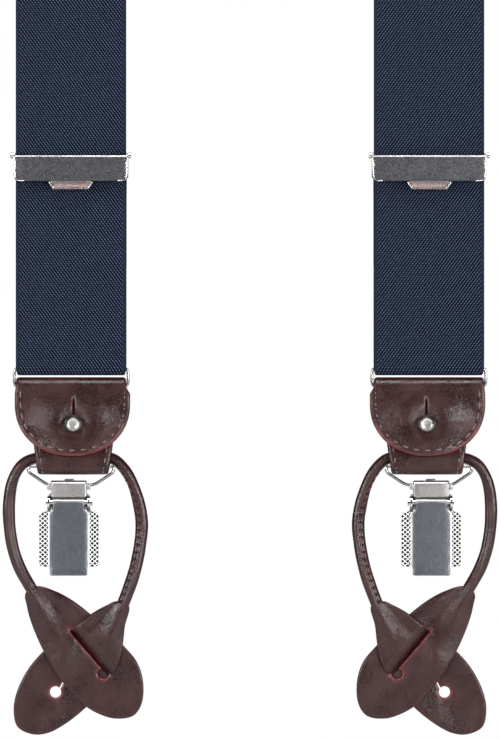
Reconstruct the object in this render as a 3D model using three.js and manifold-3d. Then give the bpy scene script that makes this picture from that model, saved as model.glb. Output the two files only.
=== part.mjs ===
// Y-back dress suspenders, hanging from a bar: two webbing straps over the bar, joined at
// the back by a leather patch, with a webbing adjuster on each front strap. Each of the three ends
// carries a leather tab, a stud, a wire bail, a lever clip and a rolled leather buttonhole loop.
// Millimetres, +Z up, -Y to the front. The origin is midway between the straps, on top of the bar.
import * as THREE from "three";
import { mergeVertices } from "three/addons/utils/BufferGeometryUtils.js";
import Module from "manifold-3d";

const wasm = await Module();
wasm.setup();

// Gap kept between neighbouring pieces.
const clear = 0.3;
const halfTurn = Math.PI;

const web = { width: 36, thickness: 1.4 };
const hang = { strapSpacing: 116.6, frontDrop: 583, backDrop: 313, depth: 36, bend: 12 };
const backRun = { straight: 25, steer: 60, endX: 11.5, endZ: -203, endSteerX: 12, endSteerZ: 44 };
const patch = { top: -166, bottom: -240, halfTop: 44, halfBottom: 24, thickness: 1.8 };
const backStrap = { top: -212, tail: 28 };

const leather = { thickness: 1.8 };
const ring = { wire: 1.3, slot: 1, sidePlay: 0.35, corner: 1 };
const runLength = 133;
const loopLeg = 4;

const adjuster = {
  pinZ: 72, pinY: -2.6, pinRadius: 0.6, barRadius: 1, barZ: 66, cheek: 0.7, cheekPlay: 0.6,
  coverBottom: 63.7, coverGauge: 0.8, coverCorner: 1.2, lipTop: 14.5, lipBottom: 11.9, lipEnd: 60.9, tail: 36,
};

const tab = {
  top: 17.9, middle: 12.85, bottom: 11.45, offset: 0.7, frontTop: -9.5, stripGap: 0.4, corner: 1.8,
};
const flap = { halfWidth: 18.8, offset: 0.5, depth: 25.8, straight: 9, shoulder: 0.95 };
const stud = {
  x: 0.9, z: -15.2, ball: 2.95, neck: 1.2, post: 1.5, bore: 0.95, screw: 0.65, head: 3, headThick: 0.9,
};
const slit = { length: 7.8, width: 0.8 };

const cord = { radius: 1.8, y: 2.4, z: -26.4, sides: 8, steps: 32 };
const bail = {
  wire: 1.1, y: -0.35, z: -29.1, half: 13.9, straight: 1.9, lowHalf: 7.6, lowZ: -35.2, corner: 1.2,
};

const clip = {
  x: -0.7, gauge: 0.65, neckHalf: 6, shoulderHalf: 6.9, wingHalf: 9.6, wingTop: -8.8, wingBottom: -26.6,
  frontLeg: -3.9, corner: 1.2, earTop: -3.4, earBottom: -8.4, earInner: 6.2, earOuter: 6.9,
  pinY: -1.95, pinZ: -5.6, pinRadius: 0.7, pinHalf: 7.4, pinHead: 1.1,
};
const jaw = { y: -0.25, z: -7.2, gauge: 0.8, roll: 0.7, peg: 0.5, lip: 1.2 };
const lever = { barrel: 1.3, neckHalf: 5.2, half: 6.1, widen: -9, bottom: -29.4, flange: 0.6, kick: 0.45 };

const leaf = {
  thickness: 1.5, spread: 1.85, crossing: 2.4, slotLow: -8.6, slotHigh: 11.3,
  hole: 1.65, holeAX: 10.3, holeAZ: -96.8, holeB: 1.85, holeBX: -5.2, holeBZ: -102.9,
};
// Where the second leaf goes through the first, in the end's x and z.
const cross = { x: 5.4, z: -88.3, lean: 40.8 };

// Sizes that follow from the ones above.
const wireR = ring.wire / 2;
const bailR = bail.wire / 2;
const ringY = web.thickness / 2 + clear + wireR;
const upperBarZ = ring.slot / 2 + wireR + clear + web.thickness;
const lowerBarZ = -(ring.slot / 2 + wireR + clear + leather.thickness);
const webWrap = wireR + clear + web.thickness / 2;
const leatherWrap = wireR + clear + leather.thickness / 2;
const returnY = ringY + webWrap;
const tabBackY = ringY + leatherWrap;
const stripTopY = tabBackY - leather.thickness - tab.stripGap;
const loopTop = upperBarZ + loopLeg;
const flapTopZ = lowerBarZ - clear;
const ringHalf = web.width / 2 + ring.sidePlay + wireR;
const runTopZ = runLength - clear;
const strapX = hang.strapSpacing / 2;
const frontY = -hang.depth / 2;
const backY = hang.depth / 2;

// ---- solids, meshes and booleans ----

function solidOf(geometry) {
  const bare = geometry.clone();
  bare.deleteAttribute("normal");
  bare.deleteAttribute("uv");
  const merged = mergeVertices(bare, 1e-4);
  return new wasm.Manifold(new wasm.Mesh({
    numProp: 3,
    vertProperties: new Float32Array(merged.attributes.position.array),
    triVerts: new Uint32Array(merged.index.array),
  }));
}

function geometryOf(solid) {
  const mesh = solid.getMesh();
  const geometry = new THREE.BufferGeometry();
  geometry.setAttribute("position", new THREE.BufferAttribute(new Float32Array(mesh.vertProperties), 3));
  geometry.setIndex(new THREE.BufferAttribute(new Uint32Array(mesh.triVerts), 1));
  const faceted = geometry.toNonIndexed();
  faceted.computeVertexNormals();
  return faceted;
}

const join = (first, ...rest) => geometryOf(rest.reduce((sum, g) => sum.add(solidOf(g)), solidOf(first)));
const cut = (first, ...rest) => geometryOf(rest.reduce((sum, g) => sum.subtract(solidOf(g)), solidOf(first)));
const common = (first, second) => geometryOf(solidOf(first).intersect(solidOf(second)));

// ---- outlines and sections ----

function shapeOf(points) {
  return new THREE.Shape(points.map(([a, b]) => new THREE.Vector2(a, b)));
}

// A polygon whose corners are rounded by up to the given radius.
function rounded(points, radius) {
  const shape = new THREE.Shape();
  const corner = points.map(([a, b]) => new THREE.Vector2(a, b));
  corner.forEach((here, i) => {
    const before = corner[(i + corner.length - 1) % corner.length];
    const after = corner[(i + 1) % corner.length];
    const reach = Math.min(radius, here.distanceTo(before) / 2.01, here.distanceTo(after) / 2.01);
    const start = here.clone().lerp(before, reach / here.distanceTo(before));
    const end = here.clone().lerp(after, reach / here.distanceTo(after));
    if (i === 0) shape.moveTo(start.x, start.y);
    else shape.lineTo(start.x, start.y);
    shape.quadraticCurveTo(here.x, here.y, end.x, end.y);
  });
  shape.closePath();
  return shape;
}

// A closed smooth outline through the given points.
function smooth(points, count) {
  const line = new THREE.CatmullRomCurve3(points.map(([a, b]) => new THREE.Vector3(a, b, 0)), true);
  return new THREE.Shape(line.getSpacedPoints(count).slice(0, count).map((p) => new THREE.Vector2(p.x, p.y)));
}

function circle(radius, sides) {
  const points = [];
  for (let i = 0; i < sides; i += 1) {
    const angle = (2 * halfTurn * (i + 0.5)) / sides;
    points.push([radius * Math.cos(angle), radius * Math.sin(angle)]);
  }
  return points;
}

// Points along an arc about (a, b), from one angle to another, in degrees.
function arc(a, b, radius, from, to, steps) {
  const points = [];
  for (let i = 0; i <= steps; i += 1) {
    const angle = THREE.MathUtils.degToRad(from + ((to - from) * i) / steps);
    points.push([a + radius * Math.cos(angle), b + radius * Math.sin(angle)]);
  }
  return points;
}

// The closed outline of a strip of even thickness whose middle follows the path.
function bandShape(path, thickness) {
  const points = path.map(([a, b]) => new THREE.Vector2(a, b));
  const sides = [[], []];
  points.forEach((here, i) => {
    const into = here.clone().sub(points[Math.max(i - 1, 0)]);
    const out = points[Math.min(i + 1, points.length - 1)].clone().sub(here);
    if (i === 0) into.copy(out);
    if (i === points.length - 1) out.copy(into);
    const along = into.normalize().add(out.normalize()).normalize();
    const stretch = 1 / Math.max(along.dot(out), 0.7);
    const across = new THREE.Vector2(-along.y, along.x).multiplyScalar((thickness / 2) * stretch);
    sides[0].push(here.clone().add(across));
    sides[1].push(here.clone().sub(across));
  });
  return new THREE.Shape([...sides[0], ...sides[1].reverse()]);
}

// ---- three-dimensional builders ----

// An outline in x and z, given thickness from y0 to y1.
function plateXZ(shape, y0, y1, curveSegments = 4) {
  const geometry = new THREE.ExtrudeGeometry(shape, { depth: y1 - y0, bevelEnabled: false, curveSegments });
  return geometry.rotateX(halfTurn / 2).translate(0, y1, 0);
}

// An outline in y and z, given width from x0 to x1.
function barYZ(shape, x0, x1, curveSegments = 4) {
  const geometry = new THREE.ExtrudeGeometry(shape, { depth: x1 - x0, bevelEnabled: false, curveSegments });
  const turn = new THREE.Matrix4().makeBasis(
    new THREE.Vector3(0, 1, 0), new THREE.Vector3(0, 0, 1), new THREE.Vector3(1, 0, 0));
  return geometry.applyMatrix4(turn).translate(x0, 0, 0);
}

function block(x0, x1, y0, y1, z0, z1) {
  return new THREE.BoxGeometry(x1 - x0, y1 - y0, z1 - z0)
    .translate((x0 + x1) / 2, (y0 + y1) / 2, (z0 + z1) / 2);
}

function rodX(radius, x0, x1, y, z, sides) {
  return barYZ(shapeOf(circle(radius, sides)), x0, x1).translate(0, y, z);
}

function rodY(radius, y0, y1, x, z, sides) {
  return plateXZ(shapeOf(circle(radius, sides)), y0, y1).translate(x, 0, z);
}

// A section carried along stations, each with a place, a tangent and a face normal.
function sweep(section, stations, closed) {
  const count = section.length;
  const vertices = stations.flatMap(({ at, along, normal }) => {
    const width = new THREE.Vector3().crossVectors(normal, along);
    return section.flatMap(([w, n]) => (
      at.clone().addScaledVector(width, w).addScaledVector(normal, n).toArray()));
  });
  const faces = [];
  const last = closed ? stations.length : stations.length - 1;
  for (let i = 0; i < last; i += 1) {
    const a = i * count;
    const b = ((i + 1) % stations.length) * count;
    for (let j = 0; j < count; j += 1) {
      const k = (j + 1) % count;
      faces.push(a + j, a + k, b + k, a + j, b + k, b + j);
    }
  }
  if (!closed) {
    const end = (stations.length - 1) * count;
    const cap = THREE.ShapeUtils.triangulateShape(section.map(([w, n]) => new THREE.Vector2(w, n)), []);
    cap.forEach(([a, b, c]) => faces.push(c, b, a, end + a, end + b, end + c));
  }
  const geometry = new THREE.BufferGeometry();
  geometry.setAttribute("position", new THREE.Float32BufferAttribute(vertices, 3));
  geometry.setIndex(faces);
  const faceted = geometry.toNonIndexed();
  faceted.computeVertexNormals();
  return faceted;
}

// A closed loop of round wire in the plane y, with rounded corners.
function wireLoop(corners, radius, bend, y, sides) {
  const path = rounded(corners, bend).getPoints(2).slice(0, -1);
  const across = new THREE.Vector3(0, 1, 0);
  const stations = path.map((p, i) => {
    const next = path[(i + 1) % path.length];
    const before = path[(i + path.length - 1) % path.length];
    const along = new THREE.Vector3(next.x - before.x, 0, next.y - before.y).normalize();
    return { at: new THREE.Vector3(p.x, y, p.y), along, normal: across };
  });
  return sweep(circle(radius, sides), stations, true);
}

// ---- materials ----

function surface(color, roughness, metalness) {
  return new THREE.MeshStandardMaterial({ color, roughness, metalness });
}

const webbingMaterial = () => surface(0x1b2135, 0.85, 0);
const leatherMaterial = () => surface(0x2a1a19, 0.55, 0);
const cordMaterial = () => surface(0x24161a, 0.45, 0);
const wireMaterial = () => surface(0xc9c9cc, 0.2, 1);
const satinMaterial = () => surface(0x8f8d90, 0.4, 1);
const jawMaterial = () => surface(0x9a989b, 0.35, 1);
const coverMaterial = () => surface(0x3b3a3d, 0.45, 1);

function piece(name, geometry, material) {
  const mesh = new THREE.Mesh(geometry, material);
  mesh.name = name;
  return mesh;
}

// ---- webbing over the bar ----

// Stations of one strap: up the front, over the bar and down the back towards the patch.
function strapStations() {
  const middle = web.thickness / 2;
  const radius = hang.bend + middle;
  const stations = [];
  const place = (x, y, z, along, normal) => stations.push({
    at: new THREE.Vector3(x, y, z), along: along.clone(), normal: normal.clone() });
  const up = new THREE.Vector3(0, 0, 1);
  place(0, frontY, runLength - hang.frontDrop, up, new THREE.Vector3(0, -1, 0));
  const turn = (centreY, from, to) => arc(centreY, middle - radius, radius, from, to, 5).forEach(([y, z]) => {
    const normal = new THREE.Vector3(0, y - centreY, z - middle + radius).normalize();
    place(0, y, z, new THREE.Vector3(0, normal.z, -normal.y), normal);
  });
  turn(frontY + radius, 180, 90);
  turn(backY - radius, 90, 0);
  const down = new THREE.CubicBezierCurve3(
    new THREE.Vector3(0, backY, -backRun.straight),
    new THREE.Vector3(0, backY, -backRun.straight - backRun.steer),
    new THREE.Vector3(strapX - backRun.endX - backRun.endSteerX, backY, backRun.endZ + backRun.endSteerZ),
    new THREE.Vector3(strapX - backRun.endX, backY, backRun.endZ));
  for (let i = 0; i <= 12; i += 1) {
    const at = down.getPoint(i / 12);
    place(at.x, at.y, at.z, down.getTangent(i / 12), new THREE.Vector3(0, 1, 0));
  }
  return stations;
}

function makeStrap(name) {
  const half = web.width / 2;
  const thick = web.thickness / 2;
  const section = [[-half, -thick], [half, -thick], [half, thick], [-half, thick]];
  const whole = sweep(section, strapStations(), false);
  const pastMiddle = block(strapX - clear / 2, strapX + half * 2, 0, backY * 2, -hang.frontDrop, 0);
  return piece(name, cut(whole, pastMiddle), webbingMaterial());
}

function patchOutline() {
  const { top, bottom, halfTop, halfBottom } = patch;
  const side = [
    [halfTop * 0.55, top + 3], [halfTop - 3, top], [halfTop, top - 8],
    [(halfTop + halfBottom) / 2, (top + bottom) / 2 - 2], [halfBottom, bottom + 8],
    [halfBottom - 5, bottom + 1],
  ];
  const mirrored = side.map(([x, z]) => [-x, z]).reverse();
  return smooth([[0, top - 4], ...side, [0, bottom], ...mirrored], 44);
}

function makePatch(name, facing) {
  const near = web.thickness / 2 + clear;
  const far = near + patch.thickness;
  const spans = facing > 0 ? [backY + near, backY + far] : [backY - far, backY - near];
  return piece(name, plateXZ(patchOutline(), spans[0], spans[1]), leatherMaterial());
}

// ---- webbing round the ring ----

function webBand(name, path) {
  const half = web.width / 2;
  return piece(name, barYZ(bandShape(path, web.thickness), -half, half), webbingMaterial());
}

const underBar = () => arc(ringY, upperBarZ, webWrap, 180, 360, 8);

function makeLoop(name) {
  return webBand(name, [[0, loopTop], ...underBar(), [returnY, loopTop]]);
}

function makeRun(name) {
  return webBand(name, [[0, runTopZ], [0, loopTop + clear]]);
}

// The webbing's end comes up behind, goes round the adjuster's rear bar and is sewn to itself.
function makeReturn(name) {
  const wrap = adjuster.barRadius + clear + web.thickness / 2;
  const tailY = returnY + web.thickness + tab.stripGap;
  return webBand(name, [
    [returnY, loopTop + clear], ...arc(returnY + wrap, adjuster.barZ, wrap, 180, 0, 8),
    [returnY + 2 * wrap - 0.4, adjuster.barZ - 3], [tailY + 0.3, adjuster.barZ - 8],
    [tailY, adjuster.barZ - 12],
    [tailY, adjuster.tail],
  ]);
}

function makeBackStrap(name) {
  const top = backStrap.top + hang.backDrop;
  return webBand(name, [[0, top], ...underBar(), [returnY, backStrap.tail]]);
}

function makeRing(name) {
  const corners = [
    [-ringHalf, lowerBarZ], [ringHalf, lowerBarZ], [ringHalf, upperBarZ], [-ringHalf, upperBarZ]];
  return piece(name, wireLoop(corners, wireR, ring.corner, ringY, 8), wireMaterial());
}

// ---- adjuster ----

const rearBarY = returnY + adjuster.barRadius + clear + web.thickness / 2;
const cheekInner = web.width / 2 + adjuster.cheekPlay;
const cheekOuter = cheekInner + adjuster.cheek;

function makeAdjusterFrame(name) {
  const { pinY, pinZ, pinRadius, barRadius, barZ } = adjuster;
  const anvilFront = web.thickness / 2 + clear;
  const outline = rounded([
    [pinY - 1.2, pinZ + 1.4], [anvilFront + 1.4, pinZ + 2], [anvilFront + 1.4, pinZ - 6],
    [rearBarY + barRadius + 0.3, barZ + 1], [rearBarY + barRadius + 0.3, barZ - 1.6],
    [rearBarY - barRadius, barZ - 1.6], [anvilFront, pinZ - 8], [pinY - 1.2, pinZ - 1.6],
  ], 0.9);
  const hole = rodX(pinRadius + clear, -cheekOuter - 1, cheekOuter + 1, pinY, pinZ, 10);
  const right = barYZ(outline, cheekInner, cheekOuter, 2);
  const left = barYZ(outline, -cheekOuter, -cheekInner, 2);
  const anvil = block(-cheekInner - 0.2, cheekInner + 0.2, anvilFront, anvilFront + 0.8, pinZ - 6.5, pinZ + 1);
  const bar = rodX(barRadius, -cheekInner - 0.2, cheekInner + 0.2, rearBarY, barZ, 10);
  return piece(name, cut(join(right, left, anvil, bar), hole), satinMaterial());
}

function makeAdjusterPin(name) {
  const reach = cheekOuter + 0.3;
  const rod = rodX(adjuster.pinRadius, -reach, reach, adjuster.pinY, adjuster.pinZ, 8);
  return piece(name, rod, wireMaterial());
}

function makeAdjusterCover(name) {
  const { pinY, pinZ, pinRadius, coverBottom, coverGauge, coverCorner, lipTop, lipBottom, lipEnd } = adjuster;
  const half = cheekInner - clear;
  const barrelRadius = pinRadius + clear + 0.55;
  const faceY = pinY - barrelRadius + coverGauge / 2;
  const barrel = rodX(barrelRadius, -half, half, pinY, pinZ - 0.2, 12);
  const faceBand = bandShape([
    [faceY, pinZ - 0.4], [faceY - 0.1, pinZ - 3], [faceY, coverBottom + 1.5], [faceY + 0.2, coverBottom],
  ], coverGauge);
  const faceOutline = rounded(
    [[-half, coverBottom - 0.2], [half, coverBottom - 0.2], [half, pinZ], [-half, pinZ]], coverCorner);
  const face = common(barYZ(faceBand, -half, half), plateXZ(faceOutline, -9, 0));
  const flangeY = -(web.thickness / 2) - clear - 0.1;
  const sideZ = coverBottom + 1;
  const leftSide = block(-half, -half + coverGauge, faceY, flangeY, sideZ, pinZ - 0.5);
  const rightSide = block(half - coverGauge, half, faceY, flangeY, sideZ, pinZ - 0.5);
  const lipBand = bandShape(
    [[faceY + 0.2, coverBottom + 0.6], [faceY - 0.1, lipEnd + 1], [faceY - 0.6, lipEnd]], coverGauge);
  const lipOutline = rounded([
    [-lipTop / 2, coverBottom + 0.6], [-lipBottom / 2, lipEnd], [lipBottom / 2, lipEnd],
    [lipTop / 2, coverBottom + 0.6]], 0.8);
  const lip = common(barYZ(lipBand, -half, half), plateXZ(lipOutline, -9, 0));
  const hole = rodX(pinRadius + clear, -half - 1, half + 1, pinY, pinZ, 10);
  return piece(name, cut(join(barrel, face, leftSide, rightSide, lip), hole), coverMaterial());
}

// ---- leather tab and flap ----

const bailWrap = bailR + clear + leather.thickness / 2;
const cordWrap = cord.radius + clear + leather.thickness / 2;
const stripTurnZ = -13;

// The front strip's depth at a height: flat under the stud, then out over the bail.
function stripY(z) {
  const share = THREE.MathUtils.clamp((stripTurnZ - z) / (stripTurnZ - bail.z), 0, 1);
  const eased = (1 - Math.cos(halfTurn * share)) / 2;
  return stripTopY + (bail.y - bailWrap - stripTopY) * eased;
}

// The front strip from the bail upwards.
function stripPath(steps) {
  const points = [];
  for (let i = 0; i <= steps; i += 1) {
    const z = bail.z + ((tab.frontTop - bail.z) * i) / steps;
    points.push([stripY(z), z]);
  }
  return points;
}

// From the front of the ring's lower bar, over it, down the back and round the cord and the bail.
function tabPath() {
  const toBail = Math.atan2(bail.z - cord.z, bail.y - cord.y);
  const apart = Math.hypot(bail.z - cord.z, bail.y - cord.y);
  const tangent = THREE.MathUtils.radToDeg(toBail + Math.acos((cordWrap - bailWrap) / apart));
  return [
    ...arc(ringY, lowerBarZ, leatherWrap, 180, 0, 8),
    [tabBackY, stud.z - 2], [(tabBackY + cord.y + cordWrap) / 2, (stud.z + cord.z) / 2 - 1],
    ...arc(cord.y, cord.z, cordWrap, 0, tangent, 3),
    ...arc(bail.y, bail.z, bailWrap, tangent, -180, 5),
    ...stripPath(6).slice(1),
  ];
}

function makeTab(name) {
  const { top, middle, bottom, offset, corner } = tab;
  const foldZ = bail.z - bailWrap - leather.thickness / 2;
  const neckZ = cord.z + 4.4;
  const topZ = lowerBarZ + leatherWrap + leather.thickness / 2;
  const shape = rounded([
    [offset - bottom, foldZ - 0.1], [offset + bottom, foldZ - 0.1], [offset + middle, neckZ],
    [offset + middle + 0.5, stud.z + 1], [top, stud.z + 8], [top, topZ + 0.1], [-top, topZ + 0.1],
    [-top, stud.z + 8], [offset - middle - 0.5, stud.z + 1], [offset - middle, neckZ],
  ], corner);
  const strip = barYZ(bandShape(tabPath(), leather.thickness), -top, top);
  const postHole = rodY(stud.post + clear, -8, 12, stud.x, stud.z, 12);
  return piece(name, cut(common(strip, plateXZ(shape, -12, 12, 3)), postHole), leatherMaterial());
}

// The flap lies over the front strip, one clearance in front of it.
function flapPath() {
  const lift = leather.thickness + clear + 0.1;
  const strip = stripPath(12).filter(([, z]) => z > -flap.depth - 1.5).reverse();
  const over = strip.map(([y, z], i) => {
    const [y0, z0] = strip[Math.max(i - 1, 0)];
    const [y1, z1] = strip[Math.min(i + 1, strip.length - 1)];
    const size = Math.hypot(y1 - y0, z1 - z0);
    return [y + ((z1 - z0) / size) * lift, z - ((y1 - y0) / size) * lift];
  });
  return [[ringY - leatherWrap, flapTopZ], ...over];
}

function makeFlap(name) {
  const { halfWidth, offset, depth, straight, shoulder } = flap;
  const shape = new THREE.Shape();
  const shoulderZ = flapTopZ - shoulder;
  shape.moveTo(-tab.top, flapTopZ + 0.1);
  shape.lineTo(-tab.top, shoulderZ);
  shape.lineTo(offset - halfWidth, shoulderZ - 0.6);
  shape.lineTo(offset - halfWidth, -straight);
  const sideReach = depth * 0.72;
  const bottomReach = halfWidth * 0.62;
  const left = offset - halfWidth;
  const right = offset + halfWidth;
  shape.bezierCurveTo(left, -sideReach, offset - bottomReach, -depth, offset, -depth);
  shape.bezierCurveTo(offset + bottomReach, -depth, right, -sideReach, right, -straight);
  shape.lineTo(offset + halfWidth, shoulderZ - 0.6);
  shape.lineTo(tab.top, shoulderZ);
  shape.lineTo(tab.top, flapTopZ + 0.1);
  const sheet = barYZ(bandShape(flapPath(), leather.thickness), -20, 20);
  const hole = rodY(stud.neck + clear, -12, 6, stud.x, stud.z, 12);
  const opening = block(stud.x - slit.width / 2, stud.x + slit.width / 2, -12, 6, stud.z, stud.z + slit.length);
  return piece(name, cut(common(sheet, plateXZ(shape, -16, 6, 10)), hole, opening), leatherMaterial());
}

// ---- stud ----

// A turned part on an axis along y through the stud's place; the profile is radius and y.
function turned(profile, segments) {
  const points = profile.map(([r, y]) => new THREE.Vector2(r, y));
  return new THREE.LatheGeometry(points, segments).translate(stud.x, 0, stud.z);
}

const flapFaceY = stripTopY - 2 * leather.thickness - clear - 0.1 + leather.thickness / 2;
const studBack = tabBackY + leather.thickness / 2;

function makeStud(name) {
  const ballY = flapFaceY - clear - stud.ball - 0.1;
  const shoulderY = flapFaceY + 0.2;
  const meet = Math.asin(stud.neck / stud.ball);
  const profile = [[0, ballY - stud.ball * 0.97]];
  for (let i = 1; i <= 6; i += 1) {
    const angle = 0.25 + ((halfTurn - meet - 0.25) * i) / 6;
    profile.push([stud.ball * Math.sin(angle), ballY - stud.ball * Math.cos(angle)]);
  }
  const postFront = stripTopY - leather.thickness / 2;
  profile.push([stud.neck, Math.max(shoulderY, postFront - 0.2)]);
  profile.push([stud.post, postFront], [stud.post, studBack]);
  profile.push([stud.bore, studBack], [stud.bore, studBack - 3.4], [0, studBack - 3.4]);
  return piece(name, turned(profile, 12), satinMaterial());
}

function makeStudScrew(name) {
  const under = studBack + clear;
  const over = under + stud.headThick;
  const profile = [
    [0, studBack - 2.8], [stud.screw, studBack - 2.8], [stud.screw, under], [stud.head, under],
    [stud.head, over - 0.3], [stud.head - 0.4, over], [0, over]];
  return piece(name, turned(profile, 12), wireMaterial());
}

// ---- bail and clip ----

function makeBail(name) {
  const { half, z, straight, lowHalf, lowZ, corner, y } = bail;
  const corners = [
    [-half, z], [-half, z - straight], [-lowHalf, lowZ], [lowHalf, lowZ], [half, z - straight], [half, z]];
  return piece(name, wireLoop(corners, bailR, corner, y, 8), wireMaterial());
}

// The clip's own pieces are placed about the bail's lower bar.
const knuckle = bailR + clear + clip.gauge / 2;
const backFaceY = knuckle - clip.gauge / 2;

function makeClipBack(name) {
  const { neckHalf, shoulderHalf, wingHalf, wingTop, wingBottom, frontLeg, gauge, corner } = clip;
  const hairpin = bandShape(
    [[-knuckle, frontLeg], ...arc(0, 0, knuckle, 180, 0, 6), [knuckle, wingBottom]], gauge);
  const half = [
    [neckHalf, 2], [neckHalf, clip.earTop + 0.6], [shoulderHalf, clip.earTop], [shoulderHalf, wingTop],
    [wingHalf, wingTop], [wingHalf, wingBottom]];
  const outline = rounded([...half, ...half.map(([x, z]) => [-x, z]).reverse()].reverse(), corner);
  const plate = common(barYZ(hairpin, -wingHalf, wingHalf), plateXZ(outline, -4, 4, 3));
  const ear = rounded([
    [knuckle, clip.earTop], [knuckle, clip.earBottom], [jaw.y - 0.6, clip.earBottom],
    [clip.pinY - 1.1, clip.pinZ - 1.3], [clip.pinY - 1.1, clip.pinZ + 1], [clip.pinY + 0.4, clip.earTop],
  ].reverse(), 1);
  const right = barYZ(ear, clip.earInner, clip.earOuter, 2);
  const left = barYZ(ear, -clip.earOuter, -clip.earInner, 2);
  const lipFront = jaw.y + jaw.gauge / 2 + clear;
  const lip = block(-wingHalf + 0.6, wingHalf - 0.6, lipFront, knuckle, wingBottom, wingBottom + jaw.lip);
  const reach = clip.earOuter + 1;
  const pinHole = rodX(clip.pinRadius + clear, -reach, reach, clip.pinY, clip.pinZ, 10);
  const pegHole = rodX(jaw.peg + clear, -reach, reach, jaw.y, jaw.z, 8);
  return piece(name, cut(join(plate, right, left, lip), pinHole, pegHole), jawMaterial());
}

function makeClipPin(name) {
  const { pinHalf, pinRadius, pinHead, pinY, pinZ } = clip;
  const rod = rodX(pinRadius, -pinHalf, pinHalf, pinY, pinZ, 10);
  const head = rodX(pinHead, pinHalf - 0.2, pinHalf + 0.3, pinY, pinZ, 10);
  return piece(name, join(rod, head), wireMaterial());
}

// The front jaw: a wide plate that turns on two pegs in the ears.
function makeClipJaw(name) {
  const { y, z, gauge, roll, peg } = jaw;
  const neck = clip.earInner - clear;
  const top = rodX(roll, -neck, neck, y, z, 12);
  const pegs = rodX(peg, -clip.earOuter - 0.2, clip.earOuter + 0.2, y, z, 8);
  const outline = rounded([
    [-neck, z], [-neck, clip.wingTop], [-clip.wingHalf, clip.wingTop], [-clip.wingHalf, clip.wingBottom],
    [clip.wingHalf, clip.wingBottom], [clip.wingHalf, clip.wingTop], [neck, clip.wingTop], [neck, z],
  ], clip.corner);
  return piece(name, join(plateXZ(outline, y - gauge / 2, y + gauge / 2, 3), top, pegs), jawMaterial());
}

function makeClipLever(name) {
  const { barrel, neckHalf, half, widen, bottom, flange, kick } = lever;
  const { pinY, pinZ, pinRadius, gauge } = clip;
  const faceY = pinY - barrel + gauge / 2;
  const band = bandShape(
    [[faceY, pinZ + 0.3], [faceY, widen], [faceY, bottom + 3.4], [faceY - kick, bottom]], gauge);
  const outline = rounded([
    [-neckHalf, pinZ], [-neckHalf, widen + 0.5], [-half, widen - 0.3], [-half, bottom], [half, bottom],
    [half, widen - 0.3], [neckHalf, widen + 0.5], [neckHalf, pinZ]], 0.9);
  const face = common(barYZ(band, -half, half), plateXZ(outline, -9, 3, 3));
  const roll = rodX(barrel, -neckHalf, neckHalf, pinY, pinZ, 12);
  const flangeBack = jaw.y - jaw.gauge / 2 - clear;
  const right = block(half - flange, half, faceY, flangeBack, bottom + 2.4, widen - 0.9);
  const left = block(-half, flange - half, faceY, flangeBack, bottom + 2.4, widen - 0.9);
  const hole = rodX(pinRadius + clear, -half, half, pinY, pinZ, 10);
  return piece(name, cut(join(face, roll, right, left), hole), satinMaterial());
}

function makeClip(side) {
  const group = new THREE.Group();
  group.add(makeClipBack(`${side}_clip_back`), makeClipPin(`${side}_clip_pin`));
  group.add(makeClipJaw(`${side}_clip_jaw`), makeClipLever(`${side}_clip_lever`));
  group.position.set(clip.x, bail.y, bail.lowZ);
  return group;
}

// ---- rolled leather loop and its two leaves ----

// The rolled cord hangs through the tab's fold, from the first leaf round to the second.
function makeLoopCord(name) {
  const { y, z } = cord;
  const leafFrontY = y - leaf.spread;
  const points = [
    [-13.4, y, -68.8], [-17, y, -62.3], [-19.3, y, -55.4], [-20.5, y, -46], [-20.2, y, -38.5], [-18.8, y, -33],
    [-16.2, y, -28.8], [-12.8, y, z - 0.4], [-9, y, z], [0, y, z], [10, y, z], [13.6, y, z - 0.3],
    [17.6, y, z - 4], [21, y, -37.2], [23.2, y, -46.6], [22.6, y - 0.5, -55.4], [20.6, leafFrontY + 0.2, -64.6],
    [17.4, leafFrontY, -73.5]];
  const path = new THREE.CatmullRomCurve3(points.map((p) => new THREE.Vector3(...p)), false, "centripetal");
  const section = shapeOf(circle(cord.radius, cord.sides));
  const sweepSettings = { steps: cord.steps, extrudePath: path, bevelEnabled: false };
  const geometry = new THREE.ExtrudeGeometry(section, sweepSettings);
  return piece(name, geometry, cordMaterial());
}

// The second leaf's depth along its length: in front, through the slot, then behind.
function crossingPath(reach) {
  const points = [[-reach, cord.y - leaf.spread]];
  for (let i = 0; i <= 8; i += 1) {
    const share = i / 8;
    const along = leaf.crossing * (2 * share - 1);
    points.push([along, cord.y - leaf.spread * Math.cos(halfTurn * share)]);
  }
  points.push([reach, cord.y + leaf.spread]);
  return points;
}

// A band that follows the crossing path, wide along the slot, turned into place.
function crossingBand(reach, thickness, low, high) {
  const shape = bandShape(crossingPath(reach), thickness);
  const geometry = new THREE.ExtrudeGeometry(shape, { depth: high - low, bevelEnabled: false });
  const lean = THREE.MathUtils.degToRad(cross.lean);
  const turn = new THREE.Matrix4().makeBasis(
    new THREE.Vector3(-Math.cos(lean), 0, -Math.sin(lean)), new THREE.Vector3(0, 1, 0),
    new THREE.Vector3(Math.sin(lean), 0, -Math.cos(lean)));
  return geometry.translate(0, 0, low).applyMatrix4(turn).translate(cross.x, 0, cross.z);
}

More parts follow.
